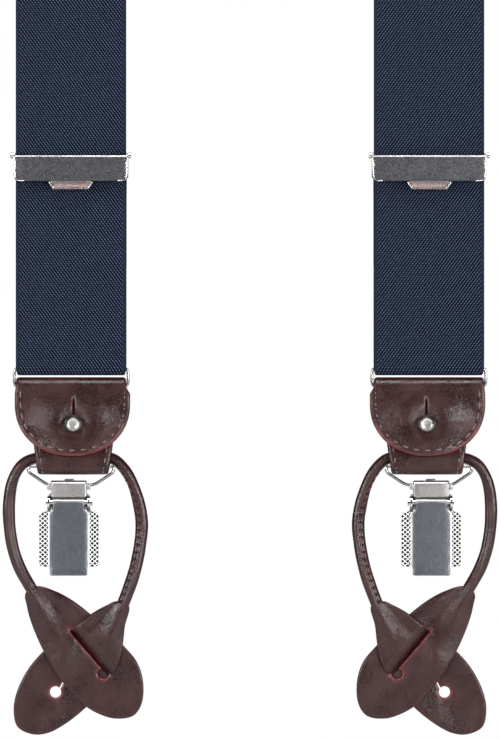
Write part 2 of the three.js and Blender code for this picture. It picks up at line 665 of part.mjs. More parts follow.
function makeLeafA(name) {
  const outline = smooth([
    [-11.3, -68.2], [-5.3, -69.8], [0.2, -72.7], [6.2, -77.3], [12, -82.6], [17.1, -87.7], [21.4, -92.9],
    [23.4, -99], [23, -106.6], [20.2, -110.6], [14.2, -111.5], [8.6, -109.8], [4, -107], [0.2, -103.3],
    [-4.4, -97.4], [-9.3, -89], [-12.8, -81], [-14.4, -75.5], [-14.8, -70.4]], 38);
  const half = leaf.thickness / 2;
  const slotThick = leaf.thickness + 2 * clear;
  const slot = crossingBand(leaf.crossing + clear, slotThick, leaf.slotLow - clear, leaf.slotHigh + clear);
  const hole = rodY(leaf.hole, cord.y - 3, cord.y + 3, leaf.holeAX, leaf.holeAZ, 12);
  return piece(name, cut(plateXZ(outline, cord.y - half, cord.y + half), slot, hole), leatherMaterial());
}

function makeLeafB(name) {
  const outline = smooth([
    [15.4, -73], [10.9, -74.7], [6.7, -77.1], [3, -80], [-1, -83.2], [-5.4, -86.6], [-10, -90.4],
    [-14.4, -95.8], [-17.9, -103], [-18.9, -109], [-17.6, -114.4], [-12.5, -116.8], [-7.6, -116.3],
    [-2.1, -113.4], [3.6, -109], [8.4, -103], [11.2, -97.2], [14, -95.2], [16.2, -91.4], [17, -86.4],
    [17.6, -81], [18.9, -74.9]], 38);
  const band = crossingBand(40, leaf.thickness, leaf.slotLow * 3, leaf.slotHigh * 3);
  const hole = rodY(leaf.holeB, cord.y - 4, cord.y + 4, leaf.holeBX, leaf.holeBZ, 12);
  return piece(name, cut(common(band, plateXZ(outline, cord.y - 6, cord.y + 6)), hole), leatherMaterial());
}

// ---- one end, and the whole ----

function makeEnd(side) {
  const group = new THREE.Group();
  group.add(makeRing(`${side}_ring`), makeTab(`${side}_tab`), makeFlap(`${side}_flap`));
  group.add(makeStud(`${side}_stud`), makeStudScrew(`${side}_stud_screw`), makeBail(`${side}_bail`));
  group.add(makeClip(side), makeLoopCord(`${side}_loop_cord`));
  group.add(makeLeafA(`${side}_leaf_a`), makeLeafB(`${side}_leaf_b`));
  return group;
}

function makeFrontEnd(side) {
  const group = makeEnd(side);
  group.add(makeLoop(`${side}_web_loop`), makeRun(`${side}_web_run`), makeReturn(`${side}_web_return`));
  group.add(makeAdjusterFrame(`${side}_adjuster_frame`), makeAdjusterPin(`${side}_adjuster_pin`));
  group.add(makeAdjusterCover(`${side}_adjuster_cover`));
  group.position.z = -hang.frontDrop;
  group.position.y = frontY;
  return group;
}

// The left strap with its end; the right one is its mirror image.
function makeSide(side, mirror) {
  const group = new THREE.Group();
  group.add(makeStrap(`${side}_strap`), makeFrontEnd(side));
  group.position.x = -strapX * mirror;
  group.scale.x = mirror;
  return group;
}

function makeBackEnd() {
  const group = makeEnd("back");
  group.add(makeBackStrap("back_strap"));
  group.position.set(0, backY, -hang.backDrop);
  group.rotation.z = halfTurn;
  return group;
}

const suspenders = new THREE.Group();
suspenders.add(makeSide("left", 1), makeSide("right", -1), makeBackEnd());
suspenders.add(makePatch("patch_outer", 1), makePatch("patch_inner", -1));

export default suspenders;
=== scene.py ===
import math

import bmesh
import bpy
import numpy as np
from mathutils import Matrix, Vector
from mathutils.geometry import delaunay_2d_cdt


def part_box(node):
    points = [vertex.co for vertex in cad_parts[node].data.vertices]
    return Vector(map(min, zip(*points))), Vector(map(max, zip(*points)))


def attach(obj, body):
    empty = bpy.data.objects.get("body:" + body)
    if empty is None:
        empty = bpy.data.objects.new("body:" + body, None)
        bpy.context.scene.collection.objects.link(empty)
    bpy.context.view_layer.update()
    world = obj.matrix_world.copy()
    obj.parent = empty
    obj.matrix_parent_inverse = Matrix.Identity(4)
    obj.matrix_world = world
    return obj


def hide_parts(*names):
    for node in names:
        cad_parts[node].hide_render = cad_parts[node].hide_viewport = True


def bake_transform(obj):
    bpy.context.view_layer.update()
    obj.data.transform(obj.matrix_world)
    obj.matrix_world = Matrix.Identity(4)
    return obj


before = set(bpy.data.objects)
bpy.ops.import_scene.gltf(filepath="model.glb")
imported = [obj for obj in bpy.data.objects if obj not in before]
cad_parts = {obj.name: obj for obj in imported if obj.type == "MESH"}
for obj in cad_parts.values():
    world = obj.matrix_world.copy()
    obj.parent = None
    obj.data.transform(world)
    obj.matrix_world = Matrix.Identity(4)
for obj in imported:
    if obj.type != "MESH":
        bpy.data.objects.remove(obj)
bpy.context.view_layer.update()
scene = bpy.context.scene
mm = 0.001
turn = 2 * math.pi


# ---- camera ----

view = {"lens": 250, "sensor": 36, "plane": -0.018, "centreZ": -0.5806, "halfHeight": 0.12035}


def makeCamera():
    data = bpy.data.cameras.new("camera")
    data.lens = view["lens"]
    data.sensor_width = view["sensor"]
    data.clip_end = 20
    camera = bpy.data.objects.new("camera", data)
    distance = view["halfHeight"] * view["lens"] / (view["sensor"] / 2)
    camera.location = (0, view["plane"] - distance, view["centreZ"])
    camera.rotation_euler = (math.pi / 2, 0, 0)
    scene.collection.objects.link(camera)
    scene.camera = camera


makeCamera()
print("camera placed")


# ---- node helpers ----

def setInputs(tree, inputs, values):
    for key, value in values.items():
        if isinstance(value, bpy.types.NodeSocket):
            tree.links.new(value, inputs[key])
        else:
            inputs[key].default_value = value


def addNode(tree, kind, inputs=None, **settings):
    made = tree.nodes.new(kind)
    for key, value in settings.items():
        setattr(made, key, value)
    setInputs(tree, made.inputs, inputs or {})
    return made


def calc(tree, operation, first, second=0.0):
    return addNode(tree, "ShaderNodeMath", {0: first, 1: second}, operation=operation).outputs[0]


def blendColour(tree, share, first, second):
    made = addNode(tree, "ShaderNodeMix", {0: share, 6: first, 7: second}, data_type="RGBA")
    return made.outputs[2]


def stretch(tree, value, low, high, newLow=0.0, newHigh=1.0):
    inputs = {"Value": value, "From Min": low, "From Max": high, "To Min": newLow, "To Max": newHigh}
    return addNode(tree, "ShaderNodeMapRange", inputs).outputs[0]


def noise(tree, place, scale, detail=2.0):
    inputs = {"Vector": place, "Scale": scale, "Detail": detail}
    return addNode(tree, "ShaderNodeTexNoise", inputs).outputs


def cellEdges(tree, place, scale):
    inputs = {"Vector": place, "Scale": scale}
    return addNode(tree, "ShaderNodeTexVoronoi", inputs, feature="DISTANCE_TO_EDGE").outputs["Distance"]


def clothPlace(tree):
    place = addNode(tree, "ShaderNodeUVMap", uv_map="cloth").outputs[0]
    return addNode(tree, "ShaderNodeSeparateXYZ", {0: place}).outputs


def startGroup(name, inputs, outputs):
    tree = bpy.data.node_groups.new(name, "ShaderNodeTree")
    for label, (kind, value) in inputs.items():
        socket = tree.interface.new_socket(label, in_out="INPUT", socket_type=kind)
        if value is not None:
            socket.default_value = value
    for label, kind in outputs.items():
        tree.interface.new_socket(label, in_out="OUTPUT", socket_type=kind)
    return tree, tree.nodes.new("NodeGroupInput").outputs, tree.nodes.new("NodeGroupOutput").inputs


number = "NodeSocketFloat"
vector = "NodeSocketVector"


def weaveGroup():
    inputs = {"Across": (number, 0.0), "Along": (number, 0.0), "Pitch": (number, 1.05), "Row": (number, 0.72),
              "Half width": (number, 18.0), "Selvedge": (number, 1.2)}
    tree, given, result = startGroup("weave", inputs, {"Thread": number, "Selvedge": number})
    lean = calc(tree, "DIVIDE", given["Along"], calc(tree, "MULTIPLY", given["Row"], 2.0))
    phase = calc(tree, "ADD", calc(tree, "DIVIDE", given["Across"], given["Pitch"]), lean)
    twill = calc(tree, "COSINE", calc(tree, "MULTIPLY", phase, turn))
    twill = stretch(tree, twill, -0.1, 0.95)
    row = calc(tree, "DIVIDE", given["Along"], given["Row"])
    rows = calc(tree, "COSINE", calc(tree, "MULTIPLY", row, turn))
    rows = stretch(tree, rows, -1.0, 0.6, 0.2, 1.0)
    dots = calc(tree, "MULTIPLY", twill, rows)
    edge = calc(tree, "SUBTRACT", given["Half width"], calc(tree, "ABSOLUTE", given["Across"]))
    mask = calc(tree, "LESS_THAN", edge, given["Selvedge"])
    ribs = calc(tree, "SINE", calc(tree, "MULTIPLY", given["Across"], turn / 0.42))
    ribs = stretch(tree, calc(tree, "MULTIPLY", ribs, rows), -1.0, 1.0, 0.06, 0.24)
    thread = addNode(tree, "ShaderNodeMix", {0: mask, 2: dots, 3: ribs}, data_type="FLOAT").outputs[0]
    tree.links.new(thread, result["Thread"])
    tree.links.new(mask, result["Selvedge"])
    return tree


def grainGroup():
    inputs = {"Position": (vector, None), "Pebble": (number, 1500.0), "Wrinkle": (number, 240.0),
              "Mottle": (number, 130.0)}
    outputs = {"Height": number, "Tone": number, "Pores": number, "Fleck": number}
    tree, given, result = startGroup("grain", inputs, outputs)
    place = given["Position"]
    creases = stretch(tree, cellEdges(tree, place, given["Pebble"]), 0.0, 0.22)
    fine = calc(tree, "MULTIPLY", noise(tree, place, 900.0, 3.0)[0], 0.5)
    height = calc(tree, "ADD", calc(tree, "MULTIPLY", creases, 0.6), fine)
    soft = calc(tree, "MULTIPLY", noise(tree, place, given["Wrinkle"])[0], 11.0)
    tone = noise(tree, place, given["Mottle"], 5.0)[0]
    fleck = noise(tree, place, 1900.0, 1.0)[0]
    tree.links.new(calc(tree, "ADD", height, soft), result["Height"])
    tree.links.new(stretch(tree, tone, 0.3, 0.7), result["Tone"])
    tree.links.new(calc(tree, "SUBTRACT", 1.0, creases), result["Pores"])
    tree.links.new(stretch(tree, fleck, 0.36, 0.64), result["Fleck"])
    return tree


def scuffGroup():
    inputs = {"Position": (vector, None), "Speckle": (number, 2600.0), "Scratch": (number, 1.0)}
    outputs = {"Speckle": number, "Scratches": number, "Cloud": number}
    tree, given, result = startGroup("scuff", inputs, outputs)
    place = given["Position"]
    turned = addNode(tree, "ShaderNodeMapping", {"Vector": place, "Rotation": (0.0, 0.6, 0.0),
                                                 "Scale": (3200.0, 500.0, 160.0)}).outputs[0]
    bend = noise(tree, place, 120.0)[1]
    wavy = addNode(tree, "ShaderNodeVectorMath", {0: turned, 1: bend}, operation="ADD").outputs[0]
    lines = cellEdges(tree, wavy, given["Scratch"])
    speck = noise(tree, place, given["Speckle"])[0]
    cloud = noise(tree, place, 210.0, 4.0)[0]
    tree.links.new(stretch(tree, speck, 0.35, 0.65), result["Speckle"])
    tree.links.new(stretch(tree, lines, 0.0, 0.05, 1.0, 0.0), result["Scratches"])
    tree.links.new(stretch(tree, cloud, 0.3, 0.7), result["Cloud"])
    return tree


# Millimetres; "plain" is the half width of the smooth middle under the lever; it reaches 0.65 mm past the
# lever's sides, so a pit-free bright strip shows there as a painted highlight line.
knurl = {"wide": 1.7, "tall": 1.46, "plain": 6.75, "deep": 0.25}


def diamondGroup():
    inputs = {"Across": (number, 0.0), "Along": (number, 0.0), "Wide": (number, knurl["wide"]),
              "Tall": (number, knurl["tall"])}
    tree, given, result = startGroup("diamonds", inputs, {"Pit": number})
    first = calc(tree, "DIVIDE", given["Across"], given["Wide"])
    second = calc(tree, "DIVIDE", given["Along"], given["Tall"])
    rays = [calc(tree, "PINGPONG", calc(tree, how, first, second), 0.5) for how in ("ADD", "SUBTRACT")]
    tree.links.new(stretch(tree, calc(tree, "MINIMUM", *rays), 0.09, 0.15), result["Pit"])
    return tree


groups = {"weave": weaveGroup(), "grain": grainGroup(), "scuff": scuffGroup(), "diamonds": diamondGroup()}


def useGroup(tree, name, inputs):
    return addNode(tree, "ShaderNodeGroup", inputs, node_tree=groups[name]).outputs


# ---- materials ----

def startMaterial(name):
    material = bpy.data.materials.new(name)
    material.use_nodes = True
    tree = material.node_tree
    tree.nodes.clear()
    surface = tree.nodes.new("ShaderNodeBsdfPrincipled")
    addNode(tree, "ShaderNodeOutputMaterial", {"Surface": surface.outputs[0]})
    place = addNode(tree, "ShaderNodeTexCoord").outputs["Object"]
    return material, tree, surface.inputs, place


def bump(tree, height, distance, strength=1.0):
    inputs = {"Height": height, "Distance": distance, "Strength": strength}
    return addNode(tree, "ShaderNodeBump", inputs).outputs[0]


webbingLook = {"deep": (0.0008, 0.001, 0.0035, 1), "thread": (0.064, 0.09, 0.155, 1), "roughness": 0.75,
               "relief": 0.00022}


def webbingMaterial():
    look = webbingLook
    material, tree, surface, place = startMaterial("webbing")
    flat = clothPlace(tree)
    weave = useGroup(tree, "weave", {"Across": flat[0], "Along": flat[1]})
    fuzz = noise(tree, place, 2200.0)[0]
    share = calc(tree, "MULTIPLY", weave["Thread"], stretch(tree, fuzz, 0.25, 0.75, 0.75, 1.15))
    setInputs(tree, surface, {
        "Base Color": blendColour(tree, share, look["deep"], look["thread"]), "Roughness": look["roughness"],
        "Normal": bump(tree, weave["Thread"], look["relief"], 0.7), "Specular IOR Level": 0.05})
    return material


leatherLook = {"deep": (0.0165, 0.0036, 0.0036, 1), "high": (0.042, 0.0102, 0.0105, 1),
               "edge": (0.19, 0.03, 0.034, 1), "dark": (0.008, 0.0014, 0.0014, 1), "fleck": 0.3,
               "sheen": 0.21, "dull": 0.44, "relief": 0.00003}
rolledLook = {**leatherLook, "sheen": 0.22, "dull": 0.4}


def leatherMaterial(name, look):
    material, tree, surface, place = startMaterial(name)
    grain = useGroup(tree, "grain", {"Position": place})
    raw = addNode(tree, "ShaderNodeAttribute", attribute_name="rawEdge").outputs["Fac"]
    fray = noise(tree, place, 420.0, 3.0)[0]
    raw = calc(tree, "MULTIPLY", raw, stretch(tree, fray, 0.3, 0.6, 0.35, 1.0))
    body = blendColour(tree, grain["Tone"], look["deep"], look["high"])
    body = blendColour(tree, calc(tree, "MULTIPLY", grain["Pores"], 0.35), body, look["deep"])
    body = blendColour(tree, calc(tree, "MULTIPLY", grain["Fleck"], look["fleck"]), body, look["dark"])
    polish = calc(tree, "ADD", grain["Tone"], calc(tree, "MULTIPLY", grain["Fleck"], look["fleck"] * 3.0))
    setInputs(tree, surface, {
        "Base Color": blendColour(tree, raw, body, look["edge"]),
        "Roughness": stretch(tree, polish, 0.0, 2.0, look["sheen"], look["dull"]),
        "Normal": bump(tree, grain["Height"], look["relief"], 0.8), "Specular IOR Level": 0.4})
    return material


def darker(colour, share):
    return tuple(share * part for part in colour[:3]) + (1,)


def metalMaterial(name, look):
    material, tree, surface, place = startMaterial(name)
    scuff = useGroup(tree, "scuff", {"Position": place})
    specks = calc(tree, "MULTIPLY", scuff["Speckle"], look["speckle"])
    body = blendColour(tree, specks, look["base"], look["light"])
    body = blendColour(tree, calc(tree, "MULTIPLY", scuff["Scratches"], look["scratch"]), body, look["light"])
    rough = stretch(tree, scuff["Cloud"], 0.0, 1.0, look["roughness"] * 0.85, look["roughness"] * 1.2)
    dark = darker(look["base"], 0.12)
    body = blendColour(tree, calc(tree, "MULTIPLY", scuff["Cloud"], look["mottle"]), body, dark)
    # Painted shade: each finish is painted darker where its surface turns away from the camera, a dark rim
    # standing in for the dark reflections at the edges of wires and plates.
    rim = addNode(tree, "ShaderNodeLayerWeight", {"Blend": 0.5}).outputs["Facing"]
    body = blendColour(tree, stretch(tree, rim, 0.12, 0.5, 0.0, look["rim"]), body, dark)
    setInputs(tree, surface, {
        "Base Color": body, "Metallic": 1.0, "Roughness": rough,
        "Normal": bump(tree, scuff["Speckle"], look["relief"], 0.6)})
    return material


def knurlMaterial():
    material, tree, surface, place = startMaterial("knurledMetal")
    flat = clothPlace(tree)
    pit = useGroup(tree, "diamonds", {"Across": flat[0], "Along": flat[1]})["Pit"]
    # Between the lever's side and "plain" the jaw is left bright: a painted highlight line beside the lever.
    beside = calc(tree, "GREATER_THAN", calc(tree, "ABSOLUTE", flat[0]), knurl["plain"])
    pit = calc(tree, "MULTIPLY", pit, beside)
    scuff = useGroup(tree, "scuff", {"Position": place})
    bright = blendColour(tree, scuff["Speckle"], (0.75, 0.75, 0.75, 1), (1, 1, 1, 1))
    # Painted shade: the diamond pits are painted near black, less metallic and rougher, for the shade in the
    # knurl's hollows; their depth is modelled in makeJaw.
    setInputs(tree, surface, {
        "Base Color": blendColour(tree, pit, bright, (0.006, 0.006, 0.007, 1)),
        "Metallic": stretch(tree, pit, 0.0, 1.0, 0.5, 0.2),
        "Roughness": stretch(tree, pit, 0.0, 1.0, 0.42, 0.8)})
    return material


def threadMaterial(name, colour):
    material, tree, surface, place = startMaterial(name)
    twist = noise(tree, place, 3000.0)[0]
    body = blendColour(tree, stretch(tree, twist, 0.35, 0.65), darker(colour, 0.45), colour)
    setInputs(tree, surface, {"Base Color": body, "Roughness": 0.8, "Normal": bump(tree, twist, 0.0001)})
    return material


# "rim" in each finish sets how strongly that painted shade, at the edges turned from the camera, is laid on.
metalLooks = {
    "brightWire": {
        "base": (0.62, 0.62, 0.62, 1), "light": (0.95, 0.95, 0.95, 1),
        "speckle": 0.3, "scratch": 0.1, "roughness": 0.14, "relief": 0.000005, "mottle": 0.1, "rim": 0.95},
    "darkWire": {
        "base": (0.3, 0.3, 0.3, 1), "light": (0.7, 0.7, 0.7, 1),
        "speckle": 0.25, "scratch": 0.1, "roughness": 0.2, "relief": 0.000005, "mottle": 0.1, "rim": 0.95},
    "satinNickel": {
        "base": (0.6, 0.59, 0.56, 1), "light": (0.88, 0.86, 0.82, 1),
        "speckle": 0.4, "scratch": 0.2, "roughness": 0.26, "relief": 0.00001, "mottle": 0.15, "rim": 0.5},
    "coverMetal": {
        "base": (0.05, 0.052, 0.06, 1), "light": (0.3, 0.3, 0.31, 1),
        "speckle": 0.3, "scratch": 0.15, "roughness": 0.4, "relief": 0.00003, "mottle": 0.35, "rim": 0.2},
    # The lip is part of the cover's sheet; its lighter, brownish colour is a painted reflection, not a finish
    # of its own.
    "lipMetalPaintedReflection": {
        "base": (0.22, 0.16, 0.155, 1), "light": (0.7, 0.6, 0.58, 1),
        "speckle": 0.4, "scratch": 0.2, "roughness": 0.35, "relief": 0.00001, "mottle": 0.3, "rim": 0.5},
    "leverMetal": {
        "base": (0.115, 0.125, 0.145, 1), "light": (0.5, 0.52, 0.56, 1),
        "speckle": 0.15, "scratch": 0.3, "roughness": 0.36, "relief": 0.00001, "mottle": 0.45, "rim": 0.4},
    "clipMetal": {
        "base": (0.37, 0.355, 0.35, 1), "light": (0.85, 0.83, 0.82, 1),
        "speckle": 0.25, "scratch": 0.25, "roughness": 0.34, "relief": 0.00001, "mottle": 0.25, "rim": 0.7}}

looks = {name: metalMaterial(name, look) for name, look in metalLooks.items()}
looks["webbing"] = webbingMaterial()
looks["leather"] = leatherMaterial("leather", leatherLook)
looks["rolledLeather"] = leatherMaterial("rolledLeather", rolledLook)
looks["knurl"] = knurlMaterial()
looks["thread"] = threadMaterial("thread", (0.22, 0.125, 0.12, 1))
looks["redThread"] = threadMaterial("redThread", (0.22, 0.03, 0.03, 1))
# Needle holes are near-black blobs on the surface: painted shade inside the holes.
looks["needleHoleShade"] = threadMaterial("needleHoleShade", (0.008, 0.004, 0.004, 1))
looks["navyThread"] = threadMaterial("navyThread", (0.02, 0.028, 0.06, 1))
print("materials made")


# ---- shape helpers ----

# Sizes are millimetres in an end's own frame: x to the right, y to the back, z up from the ring.


def arc(centreY, centreZ, radius, start, stop, count):
    angles = np.radians(np.linspace(start, stop, count + 1))
    return [(centreY + radius * math.cos(a), centreZ + radius * math.sin(a)) for a in angles]


def curveThrough(points, closed, steps):
    # A centripetal curve through the points.
    rows = [np.array(p, float) for p in points]
    count = len(rows)
    if closed:
        picked = [[rows[(i + k) % count] for k in (-1, 0, 1, 2)] for i in range(count)]
    else:
        rows = [2 * rows[0] - rows[1], *rows, 2 * rows[-1] - rows[-2]]
        picked = [rows[i:i + 4] for i in range(len(rows) - 3)]
    made = []
    for p0, p1, p2, p3 in picked:
        t1 = max(np.linalg.norm(p1 - p0), 1e-6) ** 0.5
        t2 = t1 + max(np.linalg.norm(p2 - p1), 1e-6) ** 0.5
        t3 = t2 + max(np.linalg.norm(p3 - p2), 1e-6) ** 0.5
        for t in np.linspace(t1, t2, steps, endpoint=False):
            a1 = (t1 - t) / t1 * p0 + t / t1 * p1
            a2 = (t2 - t) / (t2 - t1) * p1 + (t - t1) / (t2 - t1) * p2
            a3 = (t3 - t) / (t3 - t2) * p2 + (t - t2) / (t3 - t2) * p3
            b1 = (t2 - t) / t2 * a1 + t / t2 * a2
            b2 = (t3 - t) / (t3 - t1) * a2 + (t - t1) / (t3 - t1) * a3
            made.append((t2 - t) / (t2 - t1) * b1 + (t - t1) / (t2 - t1) * b2)
    if not closed:
        made.append(rows[-2])
    return np.array(made)


def circleLoop(x, z, radius, count):
    angles = np.linspace(0, turn, count, False)
    return np.array([(x + radius * math.cos(a), z + radius * math.sin(a)) for a in angles])


def unit(rows):
    return rows / np.linalg.norm(rows, axis=1)[:, None]


def lengthsAlong(points):
    return np.concatenate([[0], np.cumsum(np.linalg.norm(np.diff(points, axis=0), axis=1))])


def evenly(points, step, closed=False):
    points = np.asarray(points, float)
    if closed:
        points = np.vstack([points, points[:1]])
    lengths = lengthsAlong(points)
    count = max(2, round(lengths[-1] / step))
    spots = np.linspace(0, lengths[-1], count + 1)
    if closed:
        spots = spots[:-1]
    return np.stack([np.interp(spots, lengths, points[:, k]) for k in range(points.shape[1])], axis=1)


def roundedCorners(points, radius, steps=4):
    made = []
    rows = [np.array(p, float) for p in points]
    for i, corner in enumerate(rows):
        before = rows[i - 1] - corner
        after = rows[(i + 1) % len(rows)] - corner
        reach = min(radius, np.linalg.norm(before) / 2.01, np.linalg.norm(after) / 2.01)
        start = corner + before / np.linalg.norm(before) * reach
        stop = corner + after / np.linalg.norm(after) * reach
        for t in np.linspace(0, 1, steps + 1):
            made.append((1 - t) ** 2 * start + 2 * t * (1 - t) * corner + t * t * stop)
    return np.array(made)


def denseLoop(points, step):
    made = []
    rows = np.asarray(points, float)
    for a, b in zip(rows, np.roll(rows, -1, axis=0)):
        pieces = max(1, math.ceil(np.linalg.norm(b - a) / step))
        made.extend(a + (b - a) * k / pieces for k in range(pieces))
    return np.array(made)


def insideLoop(points, loop):
    x, y = points[:, :1], points[:, 1:2]
    a, b = loop, np.roll(loop, -1, axis=0)
    rise = b[:, 1] - a[:, 1]
    rise = np.where(np.abs(rise) < 1e-12, 1e-12, rise)
    crossed = ((a[:, 1] > y) != (b[:, 1] > y)) & (x < (b[:, 0] - a[:, 0]) * (y - a[:, 1]) / rise + a[:, 0])
    return crossed.sum(axis=1) % 2 == 1


def insideSheet(points, loops):
    keep = insideLoop(points, loops[0])
    for hole in loops[1:]:
        keep &= ~insideLoop(points, hole)
    return keep


def distanceTo(points, loops):
    best = np.full(len(points), np.inf)
    for loop in loops:
        along = np.roll(loop, -1, axis=0) - loop
        size = np.maximum((along ** 2).sum(axis=1), 1e-12)
        offset = points[:, None, :] - loop[None, :, :]
        share = np.clip((offset * along).sum(axis=2) / size, 0, 1)
        gap = np.linalg.norm(offset - share[:, :, None] * along, axis=2)
        best = np.minimum(best, gap.min(axis=1))
    return best


def loopArea(loop):
    x, y = loop[:, 0], loop[:, 1]
    return 0.5 * np.sum(x * np.roll(y, -1) - np.roll(x, -1) * y)


def offsetLoop(loop, distance):
    # Positive distances go inwards.
    ahead = np.roll(loop, -1, axis=0) - np.roll(loop, 1, axis=0)
    ahead /= np.maximum(np.linalg.norm(ahead, axis=1), 1e-9)[:, None]
    normal = np.stack([-ahead[:, 1], ahead[:, 0]], axis=1) * np.sign(loopArea(loop))
    return loop + normal * distance


ends = {"left": {"flipX": 1, "flipY": 1}, "right": {"flipX": -1, "flipY": 1},
        "back": {"flipX": -1, "flipY": -1}}
ringMiddle = {"y": 1.65, "z": -0.2}
for endName, spot in ends.items():
    low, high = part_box(endName + "_ring")
    middle = (np.array(low) + np.array(high)) / 2 / mm
    shift = np.array([0, spot["flipY"] * ringMiddle["y"], ringMiddle["z"]])
    spot["origin"] = middle - shift


def placed(points, end):
    points = np.asarray(points, float)
    if end:
        spot = ends[end]
        points = spot["origin"] + points * np.array([spot["flipX"], spot["flipY"], 1])
    return points * mm


def makePiece(name, points, faces, material, end=None, uv=None, edge=None, sharp=None):
    mesh = bpy.data.meshes.new(name)
    mesh.from_pydata(placed(points, end).tolist(), [], [tuple(int(i) for i in f) for f in faces])
    shape = bmesh.new()
    shape.from_mesh(mesh)
    if shape.calc_volume(signed=True) < 0:
        bmesh.ops.reverse_faces(shape, faces=shape.faces)
    shape.to_mesh(mesh)
    shape.free()
    mesh.materials.append(looks[material])
    if uv is not None:
        layer = mesh.uv_layers.new(name="cloth")
        corners = np.empty(len(mesh.loops), int)
        mesh.loops.foreach_get("vertex_index", corners)
        layer.data.foreach_set("uv", np.asarray(uv, float)[corners].ravel())
    if edge is not None:
        mesh.attributes.new("rawEdge", "FLOAT", "POINT").data.foreach_set("value", np.asarray(edge, float))
    mesh.polygons.foreach_set("use_smooth", [True] * len(mesh.polygons))
    if sharp:
        mesh.set_sharp_from_angle(angle=math.radians(sharp))
    piece = bpy.data.objects.new(name, mesh)
    scene.collection.objects.link(piece)
    return piece


def joined(name, parts):
    # Several closed shapes as one object; materials keep their slots by name.
    piece = parts[0]
    chosen = {"active_object": piece, "selected_editable_objects": parts, "selected_objects": parts}
    with bpy.context.temp_override(**chosen):
        bpy.ops.object.join()
    piece.name = name
    piece.data.name = name
    return piece


rimSteps = (0.08, 0.3, 0.62, 1.0)


def sheetShape(outline, holes, spacing, radius, depthOf, thickness):
    # A sheet with rounded rims: points of the outline and holes, rings beside them and a grid between.
    loops = [np.asarray(outline, float), *[np.asarray(h, float) for h in holes]]
    points = list(loops)
    for k, loop in enumerate(loops):
        for share in rimSteps:
            ring = offsetLoop(loop, radius * share * (1 if k == 0 else -1))
            gap = distanceTo(ring, loops)
            points.append(ring[insideSheet(ring, loops) & (gap > radius * share * 0.93)])
    low, high = loops[0].min(axis=0), loops[0].max(axis=0)
    rows = []
    for k, z in enumerate(np.arange(low[1], high[1], spacing * 0.87)):
        xs = np.arange(low[0] + (k % 2) * spacing / 2, high[0], spacing)
        rows.append(np.stack([xs, np.full(len(xs), z)], axis=1))
    grid = np.vstack(rows)
    points.append(grid[insideSheet(grid, loops) & (distanceTo(grid, loops) > radius + spacing * 0.4)])
    edges = []
    start = 0
    for loop in loops:
        count = len(loop)
        edges.extend((start + i, start + (i + 1) % count) for i in range(count))
        start += count
    found = delaunay_2d_cdt([Vector(p) for p in np.vstack(points)], edges, [], 0, 1e-5, False)
    flat = np.array([tuple(v) for v in found[0]])
    triangles = np.array([f for f in found[2] if len(f) == 3])
    corners = flat[triangles]
    span = np.abs(np.cross(corners[:, 1] - corners[:, 0], corners[:, 2] - corners[:, 0]))
    triangles = triangles[insideSheet(corners.mean(axis=1), loops) & (span > 1e-7)]
    used, triangles = np.unique(triangles, return_inverse=True)
    triangles = triangles.reshape(-1, 3)
    flat = flat[used]
    gap = distanceTo(flat, loops)
    rim = gap < 1e-4
    rounding = np.sqrt(np.clip(1 - (1 - np.minimum(gap / radius, 1)) ** 2, 0, 1))
    height = thickness / 2 * np.where(rim, 0, rounding)
    step = 0.05
    x, z = flat[:, 0], flat[:, 1]
    depth = depthOf(x, z)
    slopeX = (depthOf(x + step, z) - depthOf(x - step, z)) / (2 * step)
    slopeZ = (depthOf(x, z + step) - depthOf(x, z - step)) / (2 * step)
    normal = unit(np.stack([-slopeX, np.ones(len(x)), -slopeZ], axis=1))
    centre = np.stack([x, depth, z], axis=1)
    front = centre - normal * height[:, None]
    back = centre + normal * height[:, None]
    inner = np.flatnonzero(~rim)
    backIndex = np.arange(len(x))
    backIndex[inner] = len(x) + np.arange(len(inner))
    allPoints = np.vstack([front, back[inner]])
    faces = [*triangles.tolist(), *backIndex[triangles][:, ::-1].tolist()]
    uv = np.vstack([flat, flat[inner]])
    allGap = np.concatenate([gap, gap[inner]])
    return allPoints, faces, uv, allGap


def sweepShape(centres, acrosses, normals, sections, closed=False):
    # One section per station: rows of (across, out).
    count = len(sections[0])
    points = np.vstack([
        c + np.outer(s[:, 0], a) + np.outer(s[:, 1], n)
        for c, a, n, s in zip(centres, acrosses, normals, sections)])
    stations = len(centres)
    faces = []
    for i in range(stations if closed else stations - 1):
        j = (i + 1) % stations
        for k in range(count):
            m = (k + 1) % count
            faces.append((i * count + k, i * count + m, j * count + m, j * count + k))
    if not closed:
        faces.append(tuple(range(count))[::-1])
        faces.append(tuple((stations - 1) * count + k for k in range(count)))
    return points, faces


def bandSection(half, thick, columns, offset=0.0):
    run = np.linspace(-half + thick, half - thick, columns)
    caps = np.radians([67, 45, 22, 0, -22, -45, -67])
    right = [(half - thick + thick * math.cos(a), thick * math.sin(a)) for a in caps]
    left = [(-x, y) for x, y in right[::-1]]
    section = np.array([*[(x, thick) for x in run], *right, *[(x, -thick) for x in run[::-1]], *left])
    return section + np.array([offset, 0])


def bandShape(path, halves, thickness, columns=9, offsets=None):
    # path: rows of (y, z); the band is wide along x.
    path = np.asarray(path, float)
    tangents = unit(np.gradient(path, axis=0))
    zero = np.zeros(len(path))
    centres = np.stack([zero, path[:, 0], path[:, 1]], axis=1)
    normals = np.stack([zero, -tangents[:, 1], tangents[:, 0]], axis=1)
    acrosses = np.tile([1.0, 0.0, 0.0], (len(path), 1))
    halves = np.broadcast_to(halves, len(path))
    offsets = zero if offsets is None else offsets
    sections = [bandSection(h, thickness / 2, columns, o) for h, o in zip(halves, offsets)]
    points, faces = sweepShape(centres, acrosses, normals, sections)
    along = lengthsAlong(path)
    uv = np.vstack([np.stack([s[:, 0], np.full(len(s), v)], axis=1) for s, v in zip(sections, along)])
    return points, faces, uv


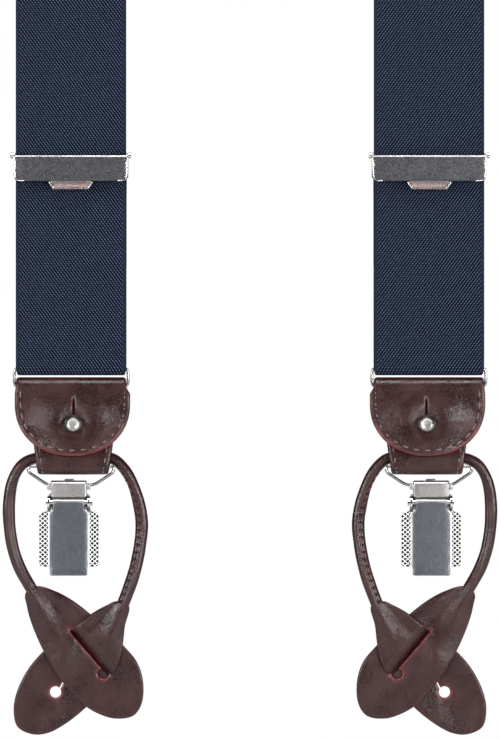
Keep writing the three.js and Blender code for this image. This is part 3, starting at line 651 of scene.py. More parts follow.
def wireShape(points, radius, closed, segments=14, radii=None):
    # A round rod along the points; its section starts at the front.
    points = np.asarray(points, float)
    if closed:
        tangents = np.roll(points, -1, axis=0) - np.roll(points, 1, axis=0)
    else:
        tangents = np.gradient(points, axis=0)
    tangents = unit(tangents)
    front = np.array([0.0, -1.0, 0.0])
    normals = unit(front - tangents * (tangents @ front)[:, None])
    acrosses = np.cross(tangents, normals)
    angles = np.linspace(0, turn, segments, endpoint=False)
    if radii is None:
        radii = np.full((len(points), segments), radius)
    sections = [np.stack([r * np.sin(angles), r * np.cos(angles)], axis=1) for r in radii]
    return sweepShape(points, acrosses, normals, sections, closed)


def turnedShape(profile, centre, segments=28, axis="y"):
    # profile: rows of (radius, distance along the axis), from one end to the other.
    points = []
    rows = []
    for radius, along in profile:
        if radius < 1e-6:
            rows.append([len(points)])
            points.append((0, along, 0))
        else:
            rows.append(list(range(len(points), len(points) + segments)))
            points.extend((radius * math.cos(a), along, radius * math.sin(a))
                          for a in np.linspace(0, turn, segments, endpoint=False))
    faces = []
    for upper, lower in zip(rows, rows[1:]):
        for k in range(segments):
            m = (k + 1) % segments
            if len(upper) == 1:
                faces.append((upper[0], lower[m], lower[k]))
            elif len(lower) == 1:
                faces.append((upper[k], upper[m], lower[0]))
            else:
                faces.append((upper[k], upper[m], lower[m], lower[k]))
    points = np.array(points)
    if axis == "x":
        points = points[:, [1, 0, 2]]
    return points + np.array(centre), faces


def rodShape(radius, half, centre, segments):
    # A plain rod along x.
    return turnedShape([(0, -half), (radius, -half), (radius, half), (0, half)], centre, segments, "x")


def blockShape(low, high, bevel):
    shape = bmesh.new()
    bmesh.ops.create_cube(shape, size=1)
    low, high = np.array(low, float), np.array(high, float)
    for corner in shape.verts:
        corner.co = Vector((np.array(corner.co) + 0.5) * (high - low) + low)
    bmesh.ops.bevel(shape, geom=shape.edges[:], offset=bevel, segments=2, affect="EDGES", profile=0.5)
    shape.verts.index_update()
    points = np.array([tuple(v.co) for v in shape.verts])
    faces = [tuple(v.index for v in f.verts) for f in shape.faces]
    shape.free()
    return points, faces


def sideBlock(side, near, far, low, high, bevel):
    # A block on one side of the middle, from near to far; low and high hold its y and z.
    left, right = sorted((side * near, side * far))
    return blockShape((left, *low), (right, *high), bevel)


# ---- stitches ----

def stitchTree():
    tree = bpy.data.node_groups.new("stitchRow", "GeometryNodeTree")
    sockets = {}
    for label, kind, value in (("Geometry", "NodeSocketGeometry", None), ("Pitch", number, 0.003),
                               ("Length", number, 0.0025), ("Radius", number, 0.0002),
                               ("Material", "NodeSocketMaterial", None)):
        made = tree.interface.new_socket(label, in_out="INPUT", socket_type=kind)
        if value is not None:
            made.default_value = value
        sockets[label] = made.identifier
    tree.interface.new_socket("Geometry", in_out="OUTPUT", socket_type="NodeSocketGeometry")
    given = tree.nodes.new("NodeGroupInput").outputs
    path = addNode(tree, "GeometryNodeMeshToCurve", {0: given["Geometry"]}).outputs[0]
    spread = {"Curve": path, "Length": given["Pitch"]}
    spots = addNode(tree, "GeometryNodeResampleCurve", spread, mode="LENGTH")
    ball = addNode(tree, "GeometryNodeMeshIcoSphere", {"Radius": 1.0, "Subdivisions": 2}).outputs[0]
    half = addNode(tree, "ShaderNodeMath", {0: given["Length"], 1: 0.5}, operation="MULTIPLY").outputs[0]
    size = addNode(tree, "ShaderNodeCombineXYZ", {0: half, 1: given["Radius"], 2: given["Radius"]}).outputs[0]
    shaped = addNode(tree, "GeometryNodeTransform", {"Geometry": ball, "Scale": size}).outputs[0]
    ahead = addNode(tree, "GeometryNodeInputTangent").outputs[0]
    facing = addNode(tree, "FunctionNodeAlignRotationToVector", {"Vector": ahead}, axis="X").outputs[0]
    many = addNode(tree, "GeometryNodeInstanceOnPoints",
                   {"Points": spots.outputs[0], "Instance": shaped, "Rotation": facing}).outputs[0]
    real = addNode(tree, "GeometryNodeRealizeInstances", {0: many}).outputs[0]
    coloured = {"Geometry": real, "Material": given["Material"]}
    done = addNode(tree, "GeometryNodeSetMaterial", coloured).outputs[0]
    tree.links.new(done, tree.nodes.new("NodeGroupOutput").inputs[0])
    return tree, sockets


stitches, stitchSockets = stitchTree()


def stitchRow(name, points, end, pitch, length, radius, look):
    path = placed(points, end)
    mesh = bpy.data.meshes.new(name + "Path")
    mesh.from_pydata(path.tolist(), [(i, i + 1) for i in range(len(path) - 1)], [])
    holder = bpy.data.objects.new(name + "Path", mesh)
    scene.collection.objects.link(holder)
    change = holder.modifiers.new("row", "NODES")
    change.node_group = stitches
    sizes = {"Pitch": pitch * mm, "Length": length * mm, "Radius": radius * mm, "Material": looks[look]}
    for label, value in sizes.items():
        change[stitchSockets[label]] = value
    bpy.context.view_layer.update()
    made = bpy.data.meshes.new_from_object(holder.evaluated_get(bpy.context.evaluated_depsgraph_get()))
    made.name = name
    made.polygons.foreach_set("use_smooth", [True] * len(made.polygons))
    bpy.data.objects.remove(holder)
    if not made.materials:
        made.materials.append(looks[look])
    piece = bpy.data.objects.new(name, made)
    scene.collection.objects.link(piece)
    return piece


needle = {"step": 0.4, "holeLength": 0.85, "holeRadius": 0.5}


def sewnLine(name, points, end, pitch, look="thread", share=0.7, radius=0.26):
    # Threads with a near-black blob between each two: painted shade standing for the needle hole.
    points = evenly(points, needle["step"])
    threads = stitchRow(name, points, end, pitch, pitch * share, radius, look)
    skip = max(1, round(pitch / 2 / needle["step"]))
    holes = stitchRow(name + "Holes", points[skip:], end, pitch, needle["holeLength"], needle["holeRadius"],
                      "needleHoleShade")
    return joined(name, [threads, holes])


seam = {"half": 16.5, "count": 60, "pitch": 2.2, "length": 1.8, "radius": 0.2, "proud": 0.08}


def seamRow(name, end, face, z):
    # A straight seam across the webbing, on the face that lies at y = face.
    spots = seam["count"]
    run = np.linspace(-seam["half"], seam["half"], spots)
    line = np.stack([run, np.full(spots, face), np.full(spots, z)], axis=1)
    return stitchRow(name, line, end, seam["pitch"], seam["length"], seam["radius"], "navyThread")


# ---- webbing ----

web = {"half": 18, "thickness": 1.4, "bend": 12.7, "foldMiddle": 5.3, "foldZ": -12.0, "front": -18,
       "back": 18, "pinch": 0.35, "fromMiddle": 0.15}
loop = {"ringY": 1.65, "barZ": 2.85, "wrap": 1.65, "returnY": 3.3, "top": 6.85}
backRun = ((58.3, -25), (58.3, -85), (23.5, -159), (11.5, -203))


def bezierAt(points, t):
    a, b, c, d = (np.array(p, float) for p in points)
    return (1 - t) ** 3 * a + 3 * t * (1 - t) ** 2 * b + 3 * t * t * (1 - t) * c + t ** 3 * d


def strapStations(end):
    # From behind the ring, under its bar, up the front, over the fold and down the back,
    # as (x, y, z) in the whole's frame.
    origin = ends[end]["origin"]
    side = -1 if end == "left" else 1
    x = origin[0]
    rows = []
    under = [(loop["returnY"], loop["top"]), (loop["returnY"], 4.8)]
    under += arc(loop["ringY"], loop["barZ"], loop["wrap"], 360, 180, 12)
    rows += [(x, origin[1] + y, origin[2] + z) for y, z in under]
    rows += [(x, web["front"], z) for z in np.linspace(origin[2] + 6, web["foldZ"] - 2, 190)]
    bend = web["bend"]
    rows += [(x, y, z) for y, z in arc(-web["foldMiddle"], web["foldZ"], bend, 180, 90, 12)]
    rows += [(x, y, z) for y, z in arc(web["foldMiddle"], web["foldZ"], bend, 90, 0, 12)]
    for t in np.linspace(0, 1, 60):
        out, down = bezierAt(backRun, t)
        rows.append((side * out, web["back"], down))
    return np.array(rows)


def cleanPath(rows):
    keep = [0]
    for i in range(1, len(rows)):
        if np.linalg.norm(rows[i] - rows[keep[-1]]) > 0.05:
            keep.append(i)
    return rows[keep]


def makeStrap(end):
    rows = cleanPath(strapStations(end))
    tangents = unit(np.gradient(rows, axis=0))
    side = -1 if end == "left" else 1
    across = np.tile([1.0, 0.0, 0.0], (len(rows), 1))
    onBack = (np.abs(rows[:, 1] - web["back"]) < 0.01) & (rows[:, 2] < web["foldZ"])
    across[onBack] = np.cross(tangents[onBack], [0, 1, 0])
    across = unit(across - tangents * (across * tangents).sum(axis=1)[:, None])
    across[across[:, 0] < 0] *= -1
    normals = np.cross(across, tangents)
    pinch = np.exp(-((rows[:, 2] - ends[end]["origin"][2] - 1.0) / 1.2) ** 2)
    sections = [bandSection(web["half"] - web["pinch"] * p, web["thickness"] / 2, 17) for p in pinch]
    points, faces = sweepShape(rows, across, normals, sections)
    uv = np.vstack([np.stack([s[:, 0] * -side, np.full(len(s), v)], axis=1)
                    for s, v in zip(sections, lengthsAlong(rows))])
    behind = points[:, 1] > 0
    points[behind, 0] = side * np.maximum(side * points[behind, 0], web["fromMiddle"])
    piece = makePiece(end + "Strap", points, faces, "webbing", uv=uv)
    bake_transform(piece)
    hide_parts(end + "_strap", end + "_web_run", end + "_web_loop")


adjuster = {"barZ": 66, "wrap": 2.0, "tailY": 5.1, "tail": 36, "pinY": -2.6, "pinZ": 72}


def makeReturn(end):
    high = adjuster["barZ"]
    path = [(loop["returnY"], z) for z in np.linspace(loop["top"] + 0.3, high - 1, 28)]
    path += arc(loop["returnY"] + adjuster["wrap"], high, adjuster["wrap"], 180, 0, 12)
    tail = [(loop["returnY"] + 2 * adjuster["wrap"], high - 1), (6.9, high - 4), (5.4, high - 8),
            (adjuster["tailY"], high - 12), (adjuster["tailY"], adjuster["tail"])]
    path = cleanPath(np.array([*path, *curveThrough(tail, False, 6)]))
    points, faces, uv = bandShape(path, web["half"], web["thickness"], 13)
    piece = makePiece(end + "Return", points, faces, "webbing", end, uv)
    face = adjuster["tailY"] + web["thickness"] / 2 + seam["proud"]
    seams = [seamRow(f"{end}Seam{z:g}", end, face, z) for z in (adjuster["tail"] + 2, adjuster["tail"] + 4.5)]
    piece = joined(end + "Return", [piece, *seams])
    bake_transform(piece)
    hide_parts(end + "_web_return")


backStrap = {"top": 101, "tail": 28, "seam": 31}


def makeBackStrap():
    path = [(0, z) for z in np.linspace(backStrap["top"], 6, 50)]
    path += arc(loop["ringY"], loop["barZ"], loop["wrap"], 180, 360, 12)
    path += [(loop["returnY"], z) for z in np.linspace(5, backStrap["tail"], 14)]
    path = cleanPath(np.array(path))
    points, faces, uv = bandShape(path, web["half"], web["thickness"], 17)
    parts = [makePiece("backStrap", points, faces, "webbing", "back", uv)]
    for depth, side in ((loop["returnY"], 1), (0, -1)):
        face = depth + side * (web["thickness"] / 2 + seam["proud"])
        parts += [seamRow(f"backSeam{side}{z:g}", "back", face, z)
                  for z in (backStrap["seam"], backStrap["seam"] + 2.5)]
    piece = joined("backStrap", parts)
    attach(piece, "straps")
    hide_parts("back_strap")


makeStrap("left")
makeStrap("right")
makeReturn("left")
makeReturn("right")
makeBackStrap()
print("webbing made")


# ---- leather: patch, tab, flap ----

patch = {"top": -166, "bottom": -240, "halfTop": 44, "halfBottom": 24, "thickness": 1.8, "stitchInset": 2.6,
         "outerY": 19.0, "innerY": 15.2}


def rawEdge(gap, width=0.35):
    return np.clip(1 - gap / width, 0, 1)


def makePatches():
    p = patch
    side = [(p["halfTop"] * 0.55, p["top"] + 3), (p["halfTop"] - 3, p["top"]), (p["halfTop"], p["top"] - 8),
            ((p["halfTop"] + p["halfBottom"]) / 2, (p["top"] + p["bottom"]) / 2 - 2),
            (p["halfBottom"], p["bottom"] + 8), (p["halfBottom"] - 5, p["bottom"] + 1)]
    whole = [(0, p["top"] - 4), *side, (0, p["bottom"]), *[(-x, z) for x, z in side[::-1]]]
    outline = evenly(curveThrough(whole, True, 8), 1.6, closed=True)
    for name, low in (("Outer", p["outerY"]), ("Inner", p["innerY"])):
        high = low + p["thickness"]
        middle = (low + high) / 2
        shape = sheetShape(outline, [], 2.2, p["thickness"] / 2, lambda x, z: middle + 0 * x, p["thickness"])
        points, faces, uv, gap = shape
        body = makePiece("patch" + name, points, faces, "leather", None, uv, rawEdge(gap, 0.5))
        line = offsetLoop(outline, p["stitchInset"])
        depth = high + 0.1 if name == "Outer" else low - 0.1
        row = np.stack([line[:, 0], np.full(len(line), depth), line[:, 1]], axis=1)
        sewn = sewnLine(f"patch{name}Row", np.vstack([row, row[:1]]), None, 3.5)
        body = joined("patch" + name, [body, sewn])
        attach(body, "straps")
        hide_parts("patch_" + name.lower())


leather = {"thickness": 1.8, "wrap": 1.85, "stripY": 1.3, "stripTurn": -13, "bailY": -0.35, "bailZ": -29.1,
           "bailWrap": 1.75, "cordY": 2.4, "cordZ": -26.4, "cordWrap": 3.0, "tabBackY": 3.5, "lowerBar": -3.25,
           "foldRise": 1.16}
stud = {"x": 0.9, "z": -15.2, "ball": 2.95, "neck": 1.2, "post": 1.5, "facet": 1.75, "sink": 0.12}


def stripDepth(z):
    share = np.clip((leather["stripTurn"] - z) / (leather["stripTurn"] - leather["bailZ"]), 0, 1)
    eased = (1 - np.cos(math.pi * share)) / 2
    return leather["stripY"] + (leather["bailY"] - leather["bailWrap"] - leather["stripY"]) * eased


tab = {"top": 17.9, "middle": 12.85, "bottom": 11.45, "offset": 0.7, "startAngle": 82, "frontTop": -9.5,
       "end": -31.85, "sag": 0.12, "stitchInset": 1.7}


def makeTab(end):
    rise = math.atan2(leather["bailZ"] - leather["cordZ"], leather["bailY"] - leather["cordY"])
    apart = math.hypot(leather["bailZ"] - leather["cordZ"], leather["bailY"] - leather["cordY"])
    leave = math.degrees(rise + math.acos((leather["cordWrap"] - leather["bailWrap"]) / apart))
    path = arc(loop["ringY"], leather["lowerBar"], leather["wrap"], tab["startAngle"], 0, 10)
    down = [(leather["tabBackY"], -4.2), (leather["tabBackY"], -8), (leather["tabBackY"], -13),
            (3.9, -18), (leather["cordY"] + leather["cordWrap"] - 0.3, -22.5)]
    path += [tuple(p) for p in curveThrough(down, False, 5)]
    path += arc(leather["cordY"], leather["cordZ"], leather["cordWrap"], 0, leave, 8)
    path += arc(leather["bailY"], leather["bailZ"], leather["bailWrap"], leave, -180, 12)
    path += [(stripDepth(z), z) for z in np.linspace(leather["bailZ"] + 0.6, tab["frontTop"], 26)]
    path = cleanPath(np.array(path))
    heights = [tab["end"], -22.0, -14.2, -7.2, 0]
    widths = [tab["bottom"], tab["middle"], tab["middle"] + 0.5, tab["top"], tab["top"]]
    halves = np.interp(path[:, 1], heights, widths)
    offsets = np.interp(path[:, 1], heights, [tab["offset"]] * 3 + [0, 0])
    points, faces, uv = bandShape(path, halves, leather["thickness"], 15, offsets)
    above = points[:, 2] > leather["lowerBar"]
    points[above, 2] = leather["lowerBar"] + (points[above, 2] - leather["lowerBar"]) * leather["foldRise"]
    low = np.exp(-((points[:, 2] + 31.8) / 1.6) ** 2)
    points[:, 2] -= low * (1 - ((points[:, 0] - tab["offset"]) / 12) ** 2) * tab["sag"]
    each = len(points) // len(path)
    side = np.abs(np.abs(points[:, 0] - np.repeat(offsets, each)) - np.repeat(halves, each))
    parts = [makePiece(end + "Tab", points, faces, "leather", end, uv, rawEdge(side, 0.12) * 0.6)]
    zs = np.linspace(-20.5, -30.4, 40)
    for hand, label in ((-1, "A"), (1, "B")):
        half = np.interp(zs, [tab["end"], -22], [tab["bottom"], tab["middle"]]) - tab["stitchInset"]
        face = stripDepth(zs) - leather["thickness"] / 2 - 0.06
        row = np.stack([tab["offset"] + hand * half, face, zs], axis=1)
        parts.append(sewnLine(f"{end}TabRow{label}", row, end, 3.0))
    piece = joined(end + "Tab", parts)
    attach(piece, end + "_tab")
    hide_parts(end + "_tab")


flap = {"half": 18.8, "offset": 0.5, "depth": 25.8, "straight": 9, "top": -0.05, "lift": 2.2,
        "stitchInset": 1.9, "bulge": 1.75, "dimple": 1.5, "hole": 1.45, "slitTop": -7.4, "slitHalf": 0.36,
        "slitTip": 0.12, "bendFrom": -3.0, "bendTo": -6.0}


def flapDepth(x, z):
    upper = np.interp(z, [-9.5, -6.5, leather["lowerBar"]], [leather["stripY"] - flap["lift"], -0.62, -0.2])
    depth = np.where(z < -9.5, stripDepth(z) - flap["lift"], upper)
    reach = np.sqrt(((x - stud["x"]) / 13) ** 2 + ((z + 15.5) / 9.5) ** 2)
    dome = np.clip(1 - reach ** 2 * 0.62, 0, 1) ** 1.5
    near = np.exp(-(((x - stud["x"]) / 4.0) ** 2 + ((z - stud["z"] - 0.8) / 4.4) ** 2))
    pull = np.exp(-((x - stud["x"]) / 4.5) ** 2) * np.clip((z + 12) / 4, 0, 1) * np.clip((-z - 3.5) / 4, 0, 1)
    return depth - flap["bulge"] * dome + flap["dimple"] * near + 0.3 * pull


def overFold(points):
    # What reaches above the ring's lower bar goes round it.
    above = points[:, 2] > leather["lowerBar"]
    angle = (points[above, 2] - leather["lowerBar"]) / leather["wrap"]
    radius = leather["wrap"] - 0.2 - points[above, 1]
    points[above, 1] = loop["ringY"] - radius * np.cos(angle)
    points[above, 2] = leather["lowerBar"] + radius * np.sin(angle) * leather["foldRise"]
    return points


def flapOutline():
    f = flap
    left, right = f["offset"] - f["half"], f["offset"] + f["half"]
    low = -f["depth"]
    knee, inner = low * 0.72, f["half"] * 0.62
    bottom = (f["offset"], low)
    share = np.linspace(0, 1, 30)
    lower = [bezierAt([(left, -f["straight"]), (left, knee), (f["offset"] - inner, low), bottom], t)
             for t in share]
    other = [bezierAt([bottom, (f["offset"] + inner, low), (right, knee), (right, -f["straight"])], t)
             for t in share[1:]]
    wide = tab["top"]
    points = [(-wide, f["top"]), (-wide - 0.15, -3.4), (left, -5.6), *lower, *other, (right, -5.6),
              (wide + 0.15, -3.4), (wide, f["top"])]
    return np.array(points)


def makeFlap(end):
    outline = denseLoop(flapOutline(), 0.8)
    ring = circleLoop(stud["x"], stud["z"], flap["hole"], 24)
    slit = [(stud["x"] - flap["slitHalf"], stud["z"]), (stud["x"] + flap["slitHalf"], stud["z"]),
            (stud["x"] + flap["slitTip"], flap["slitTop"]), (stud["x"] - flap["slitTip"], flap["slitTop"])]
    holes = [ring, denseLoop(slit, 0.5)]
    shape = sheetShape(outline, holes, 0.95, 0.75, flapDepth, leather["thickness"])
    points, faces, uv, gap = shape
    points = overFold(points)
    edge = np.where(uv[:, 1] < -16, rawEdge(gap, 0.9), rawEdge(gap, 0.35) * 0.5)
    edge = np.where(uv[:, 1] > leather["lowerBar"], 0, edge)
    piece = makePiece(end + "Flap", points, faces, "leather", end, uv, edge)
    line = offsetLoop(flapOutline(), flap["stitchInset"])
    line = evenly(line[line[:, 1] < -4.5], 0.5)
    face = flapDepth(line[:, 0], line[:, 1]) - leather["thickness"] / 2 - 0.05
    row = sewnLine(end + "FlapRow", np.stack([line[:, 0], face, line[:, 1]], axis=1), end, 3.55)
    piece = joined(end + "Flap", [piece, row])
    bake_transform(piece)
    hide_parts(end + "_flap")


flapFace = leather["stripY"] - 2 * leather["thickness"] - 0.4 + leather["thickness"] / 2


def makeStud(end):
    ballY = flapFace - 0.4 - stud["ball"]
    facet = math.asin(stud["facet"] / stud["ball"])
    meet = math.asin(stud["neck"] / stud["ball"])
    crown = ballY - stud["ball"] * math.cos(facet) + stud["sink"]
    profile = [(0, crown)] + [(stud["facet"] * s, crown - stud["sink"] * s ** 4) for s in (0.6, 0.9, 1)]
    profile += [(stud["ball"] * math.sin(a), ballY - stud["ball"] * math.cos(a))
                for a in np.linspace(facet, math.pi - meet, 16)[1:]]
    back = leather["tabBackY"] + leather["thickness"] / 2
    profile += [(stud["neck"], 0.2), (stud["post"], 0.4), (stud["post"], back), (0, back)]
    points, faces = turnedShape(profile, (stud["x"], 0, stud["z"]))
    piece = makePiece(end + "Stud", points, faces, "satinNickel", end, sharp=40)
    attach(piece, end + "_tab")
    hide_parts(end + "_stud")


# ---- wire parts ----

ringWire = {"half": 18.55, "low": -3.25, "high": 2.85, "y": 1.65, "corner": 1.6, "sideFrom": 17.9, "thin": 0.8}
bail = {"half": 13.9, "straight": 1.9, "lowHalf": 7.6, "lowZ": -35.2, "corner": 1.6}


def wireRadius(node):
    low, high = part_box(node)
    return (high.y - low.y) / 2 / mm


def makeRing(end):
    r = ringWire
    radius = wireRadius(end + "_ring")
    corners = [(-r["half"], r["low"]), (r["half"], r["low"]), (r["half"], r["high"]), (-r["half"], r["high"])]
    path = evenly(roundedCorners(corners, r["corner"], 6), 0.8, closed=True)
    points = np.stack([path[:, 0], np.full(len(path), r["y"]), path[:, 1]], axis=1)
    slim = np.where(np.abs(path[:, 0]) > r["sideFrom"], radius * r["thin"], radius)
    radii = np.repeat(slim[:, None], 14, axis=1)
    points, faces = wireShape(points, radius, True, radii=radii)
    piece = makePiece(end + "Ring", points, faces, "darkWire", end)
    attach(piece, end + "_ring")
    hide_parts(end + "_ring")


def makeBail(end):
    b = bail
    radius = wireRadius(end + "_bail")
    z = leather["bailZ"]
    corners = [(-b["half"], z), (-b["half"], z - b["straight"]), (-b["lowHalf"], b["lowZ"]),
               (b["lowHalf"], b["lowZ"]), (b["half"], z - b["straight"]), (b["half"], z)]
    path = evenly(roundedCorners(corners, b["corner"], 6), 0.6, closed=True)
    points = np.stack([path[:, 0], np.full(len(path), leather["bailY"]), path[:, 1]], axis=1)
    points, faces = wireShape(points, radius, True)
    piece = makePiece(end + "Bail", points, faces, "darkWire", end)
    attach(piece, end + "_bail")
    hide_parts(end + "_bail")


makePatches()
for endName in ends:
    makeTab(endName)
    makeFlap(endName)
    makeStud(endName)
    makeRing(endName)
    makeBail(endName)
print("leather tabs, studs and wires made")


# ---- rolled cord and its leaves ----

cord = {"radius": 1.8, "y": 2.4, "flange": 0.5, "flangeShort": 0.75, "groove": 0.5, "spread": 1.85,
        "middle": (1.5, 2.4, -48), "tip": 0.42}
# From the lower leaf up, through the tab's fold and down to the upper leaf.
cordRoute = [(-4.2, 2.9, -87), (-6.6, 2.45, -81.5), (-9.6, 2.2, -75.4), (-13.4, 2.25, -68.8),
             (-17, 2.4, -62.3), (-19.3, 2.4, -55.4), (-20.5, 2.4, -46), (-20.2, 2.4, -38.5),
             (-18.8, 2.4, -33), (-16.2, 2.4, -28.8), (-12.8, 2.4, -26.8), (-9, 2.4, -26.4), (0, 2.4, -26.4),
             (10, 2.4, -26.4), (13.6, 2.4, -26.7), (17.6, 2.4, -30.4), (21, 2.4, -37.2), (23.2, 2.4, -46.6),
             (22.6, 1.9, -55.4), (20.6, 0.75, -64.6), (17.4, 0.4, -73.5), (15.2, 0.5, -79), (12.6, 0.85, -85.5),
             (10.4, 1.3, -91)]
cordEnds = {"first": 20.5, "last": 19.0}


def wrapped(angles):
    return (angles + math.pi) % turn - math.pi


def makeLoop(end):
    path = evenly(curveThrough(cordRoute, False, 8), 0.9)
    lengths = lengthsAlong(path)
    fromFirst = np.clip(lengths / cordEnds["first"], 0, 1)
    fromLast = np.clip((lengths[-1] - lengths) / cordEnds["last"], 0, 1)
    taper = cord["tip"] + (1 - cord["tip"]) * np.minimum(fromFirst, fromLast) ** 0.8
    segments = 28
    angles = np.linspace(0, turn, segments, endpoint=False)
    share = np.linspace(0, 1, len(path))
    outward = np.cross(unit(np.gradient(path, axis=0)), [0.0, -1.0, 0.0])
    inner = np.sign(((np.array(cord["middle"]) - path) * outward).sum(axis=1)).mean()
    toInner = np.radians(90 if inner > 0 else 270)
    toGroove = 0.42 if inner > 0 else turn - 0.42
    free = np.clip((np.abs(share - 0.5) - 0.14) / 0.05, 0, 1)
    ridge = np.exp(-(wrapped(angles - toInner) / 0.42) ** 2)
    valley = np.exp(-(wrapped(angles - toGroove) / 0.24) ** 2)
    radii = []
    for s, loose, slim in zip(share, free, taper):
        flange = cord["flange"] * (1.0 if s > 0.5 else cord["flangeShort"])
        wave = 1 + 0.015 * math.sin(47 * s) + 0.01 * math.sin(113 * s + 1)
        radii.append(wave * slim * (cord["radius"] + loose * (flange * ridge - cord["groove"] * valley)))
    points, faces = wireShape(path, cord["radius"], False, segments, np.array(radii))
    seamEdge = np.exp(-(wrapped(angles - toInner) / 0.14) ** 2)
    edge = np.concatenate([0.5 * loose * seamEdge for loose in free])
    parts = [makePiece(end + "Loop", points, faces, "rolledLeather", end, None, edge)]
    chosen = (share > 0.6) & (share < 0.885)
    row = path[chosen] + unit(outward[chosen] * inner) * 1.35 + np.array([0, -1.42, 0])
    parts.append(sewnLine(end + "LoopRow", row, end, 2.3, "redThread", 0.6, 0.16))
    piece = joined(end + "Loop", parts)
    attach(piece, end + "_loop")
    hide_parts(end + "_loop_cord")


cross = {"x": 5.4, "z": -88.3, "lean": math.radians(40.8)}
leaf = {"thickness": 1.5, "slotNear": -1.95, "slotFar": 0.95, "slotLow": -8.8, "slotHigh": 11.3, "shift": -0.5,
        "half": 2.0, "rim": 0.62, "rawWidth": 0.3}
buttonholes = {"A": (10.3, -96.8, 1.65), "B": (-5.2, -102.9, 1.85)}
leafA = [(-11.3, -68.2), (-5.3, -69.8), (0.2, -72.7), (6.2, -77.3), (12, -82.6), (17.1, -87.7), (21.4, -92.9),
         (23.4, -99), (23, -106.6), (20.2, -110.6), (14.2, -111.5), (8.6, -109.8), (4, -107), (0.2, -103.3),
         (-4.4, -97.4), (-9.3, -89), (-12.8, -81), (-14.4, -75.5), (-14.8, -70.4)]
leafB = [(15.4, -73), (10.9, -74.7), (6.7, -77.1), (3, -80), (-1, -83.2), (-5.4, -86.6), (-10, -90.4),
         (-14.4, -95.8), (-17.9, -103), (-18.9, -109), (-17.6, -114.4), (-12.5, -116.8), (-7.6, -116.3),
         (-2.1, -113.4), (3.6, -109), (9.2, -103.2), (12.4, -98.3), (14.4, -95.5), (16.2, -91.4), (17, -86.4),
         (17.6, -81), (18.9, -74.9)]


def crossPlace(across, along):
    lean = cross["lean"]
    return (cross["x"] - math.cos(lean) * across + math.sin(lean) * along,
            cross["z"] - math.sin(lean) * across - math.cos(lean) * along)


def crossShare(x, z):
    lean = cross["lean"]
    return -math.cos(lean) * (x - cross["x"]) - math.sin(lean) * (z - cross["z"])


def fold(x, z, start, stop, height, width, grow):
    # A soft ridge from start that widens and fades towards stop.
    start, stop = np.array(start), np.array(stop)
    along = stop - start
    size = np.linalg.norm(along)
    along = along / size
    t = (x - start[0]) * along[0] + (z - start[1]) * along[1]
    s = -(x - start[0]) * along[1] + (z - start[1]) * along[0]
    w = width + grow * np.clip(t / size, 0, 1.3)
    fade = np.clip(1 - np.clip(t / size, 0, 1) ** 1.5, 0, 1) * np.clip(1 + t / 3, 0, 1)
    return height * fade * np.exp(-(s / w) ** 2)


def swell(x, z, middle, size, height):
    # A soft round rise.
    return height * np.exp(-(((x - middle[0]) / size[0]) ** 2 + ((z - middle[1]) / size[1]) ** 2))


def depthA(x, z):
    depth = cord["y"] + 0 * x
    depth = depth - fold(x, z, (-13.4, -69), (-3.5, -89), 1.1, 1.7, 2.2)
    depth = depth + fold(x, z, (-15.2, -72), (-9.5, -92), 0.75, 0.9, 1.6)
    depth = depth + fold(x, z, (-11, -69), (3, -81), 0.75, 1.0, 1.8)
    depth = depth - fold(x, z, (-10, -69), (10, -84), 0.5, 1.2, 2.4)
    depth = depth - swell(x, z, (-2, -73.5), (6, 3), 0.35)
    depth = depth - swell(x, z, (-2.5, -92), (4.5, 6), 1.0)
    return depth + 0.25 * np.sin(x / 6.1 + z / 8.3) * np.clip((-z - 88) / 8, 0, 1)


def depthB(x, z):
    share = np.clip((crossShare(x, z) - leaf["shift"] + leaf["half"]) / (2 * leaf["half"]), 0, 1)
    depth = cord["y"] - cord["spread"] * np.cos(math.pi * share)
    front = 1 - share
    ridges = fold(x, z, (17.2, -73.5), (9.8, -93), 1.1, 1.6, 2.0)
    ridges = ridges - fold(x, z, (14.5, -73.5), (3, -86), 0.65, 1.0, 1.7)
    ridges = ridges - fold(x, z, (19, -75), (14.5, -93), 0.6, 0.7, 1.1)
    ridges = ridges + fold(x, z, (13, -74), (1, -82), 0.4, 1.1, 1.6)
    bulge = swell(x, z, (8, -84), (5, 5), 0.45)
    behind = 0.3 * np.sin(x / 5.3 - z / 7.1 + 1) * share
    return depth - front * (ridges + bulge) + behind


def makeLeaf(end, name, node, outline, holes, depthOf):
    outline = evenly(curveThrough(outline, True, 6), 0.8, closed=True)
    points, faces, uv, gap = sheetShape(outline, holes, 1.0, leaf["rim"], depthOf, leaf["thickness"])
    patchy = np.clip(0.1 + 0.6 * np.sin(uv[:, 0] * 0.31 + uv[:, 1] * 0.23 + 1.2), 0, 1)
    nearHole = distanceTo(uv, holes) < 0.9
    edge = np.where(nearHole, rawEdge(gap, 0.8), rawEdge(gap, leaf["rawWidth"]) * patchy)
    piece = makePiece(end + name, points, faces, "leather", end, uv, edge)
    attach(piece, end + "_loop")
    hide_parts(f"{end}_{node}")


def makeLeaves(end):
    near, far = leaf["slotNear"], leaf["slotFar"]
    slot = [crossPlace(near, leaf["slotLow"] + 2.6), crossPlace(far, leaf["slotLow"] + 0.6),
            crossPlace(far, leaf["slotHigh"]), crossPlace(near, leaf["slotHigh"] - 3.0)]
    holesA = [denseLoop(slot, 0.7), circleLoop(*buttonholes["A"], 20)]
    makeLeaf(end, "LeafA", "leaf_a", leafA, holesA, depthA)
    slit = [(-4.2, -102), (-3.7, -102.2), (-2.0, -98.7), (-2.3, -98.6)]
    holesB = [circleLoop(*buttonholes["B"], 22), denseLoop(slit, 0.6)]
    makeLeaf(end, "LeafB", "leaf_b", leafB, holesB, depthB)


for endName in ends:
    makeLoop(endName)
    makeLeaves(endName)
print("loops and leaves made")


# ---- clip ----

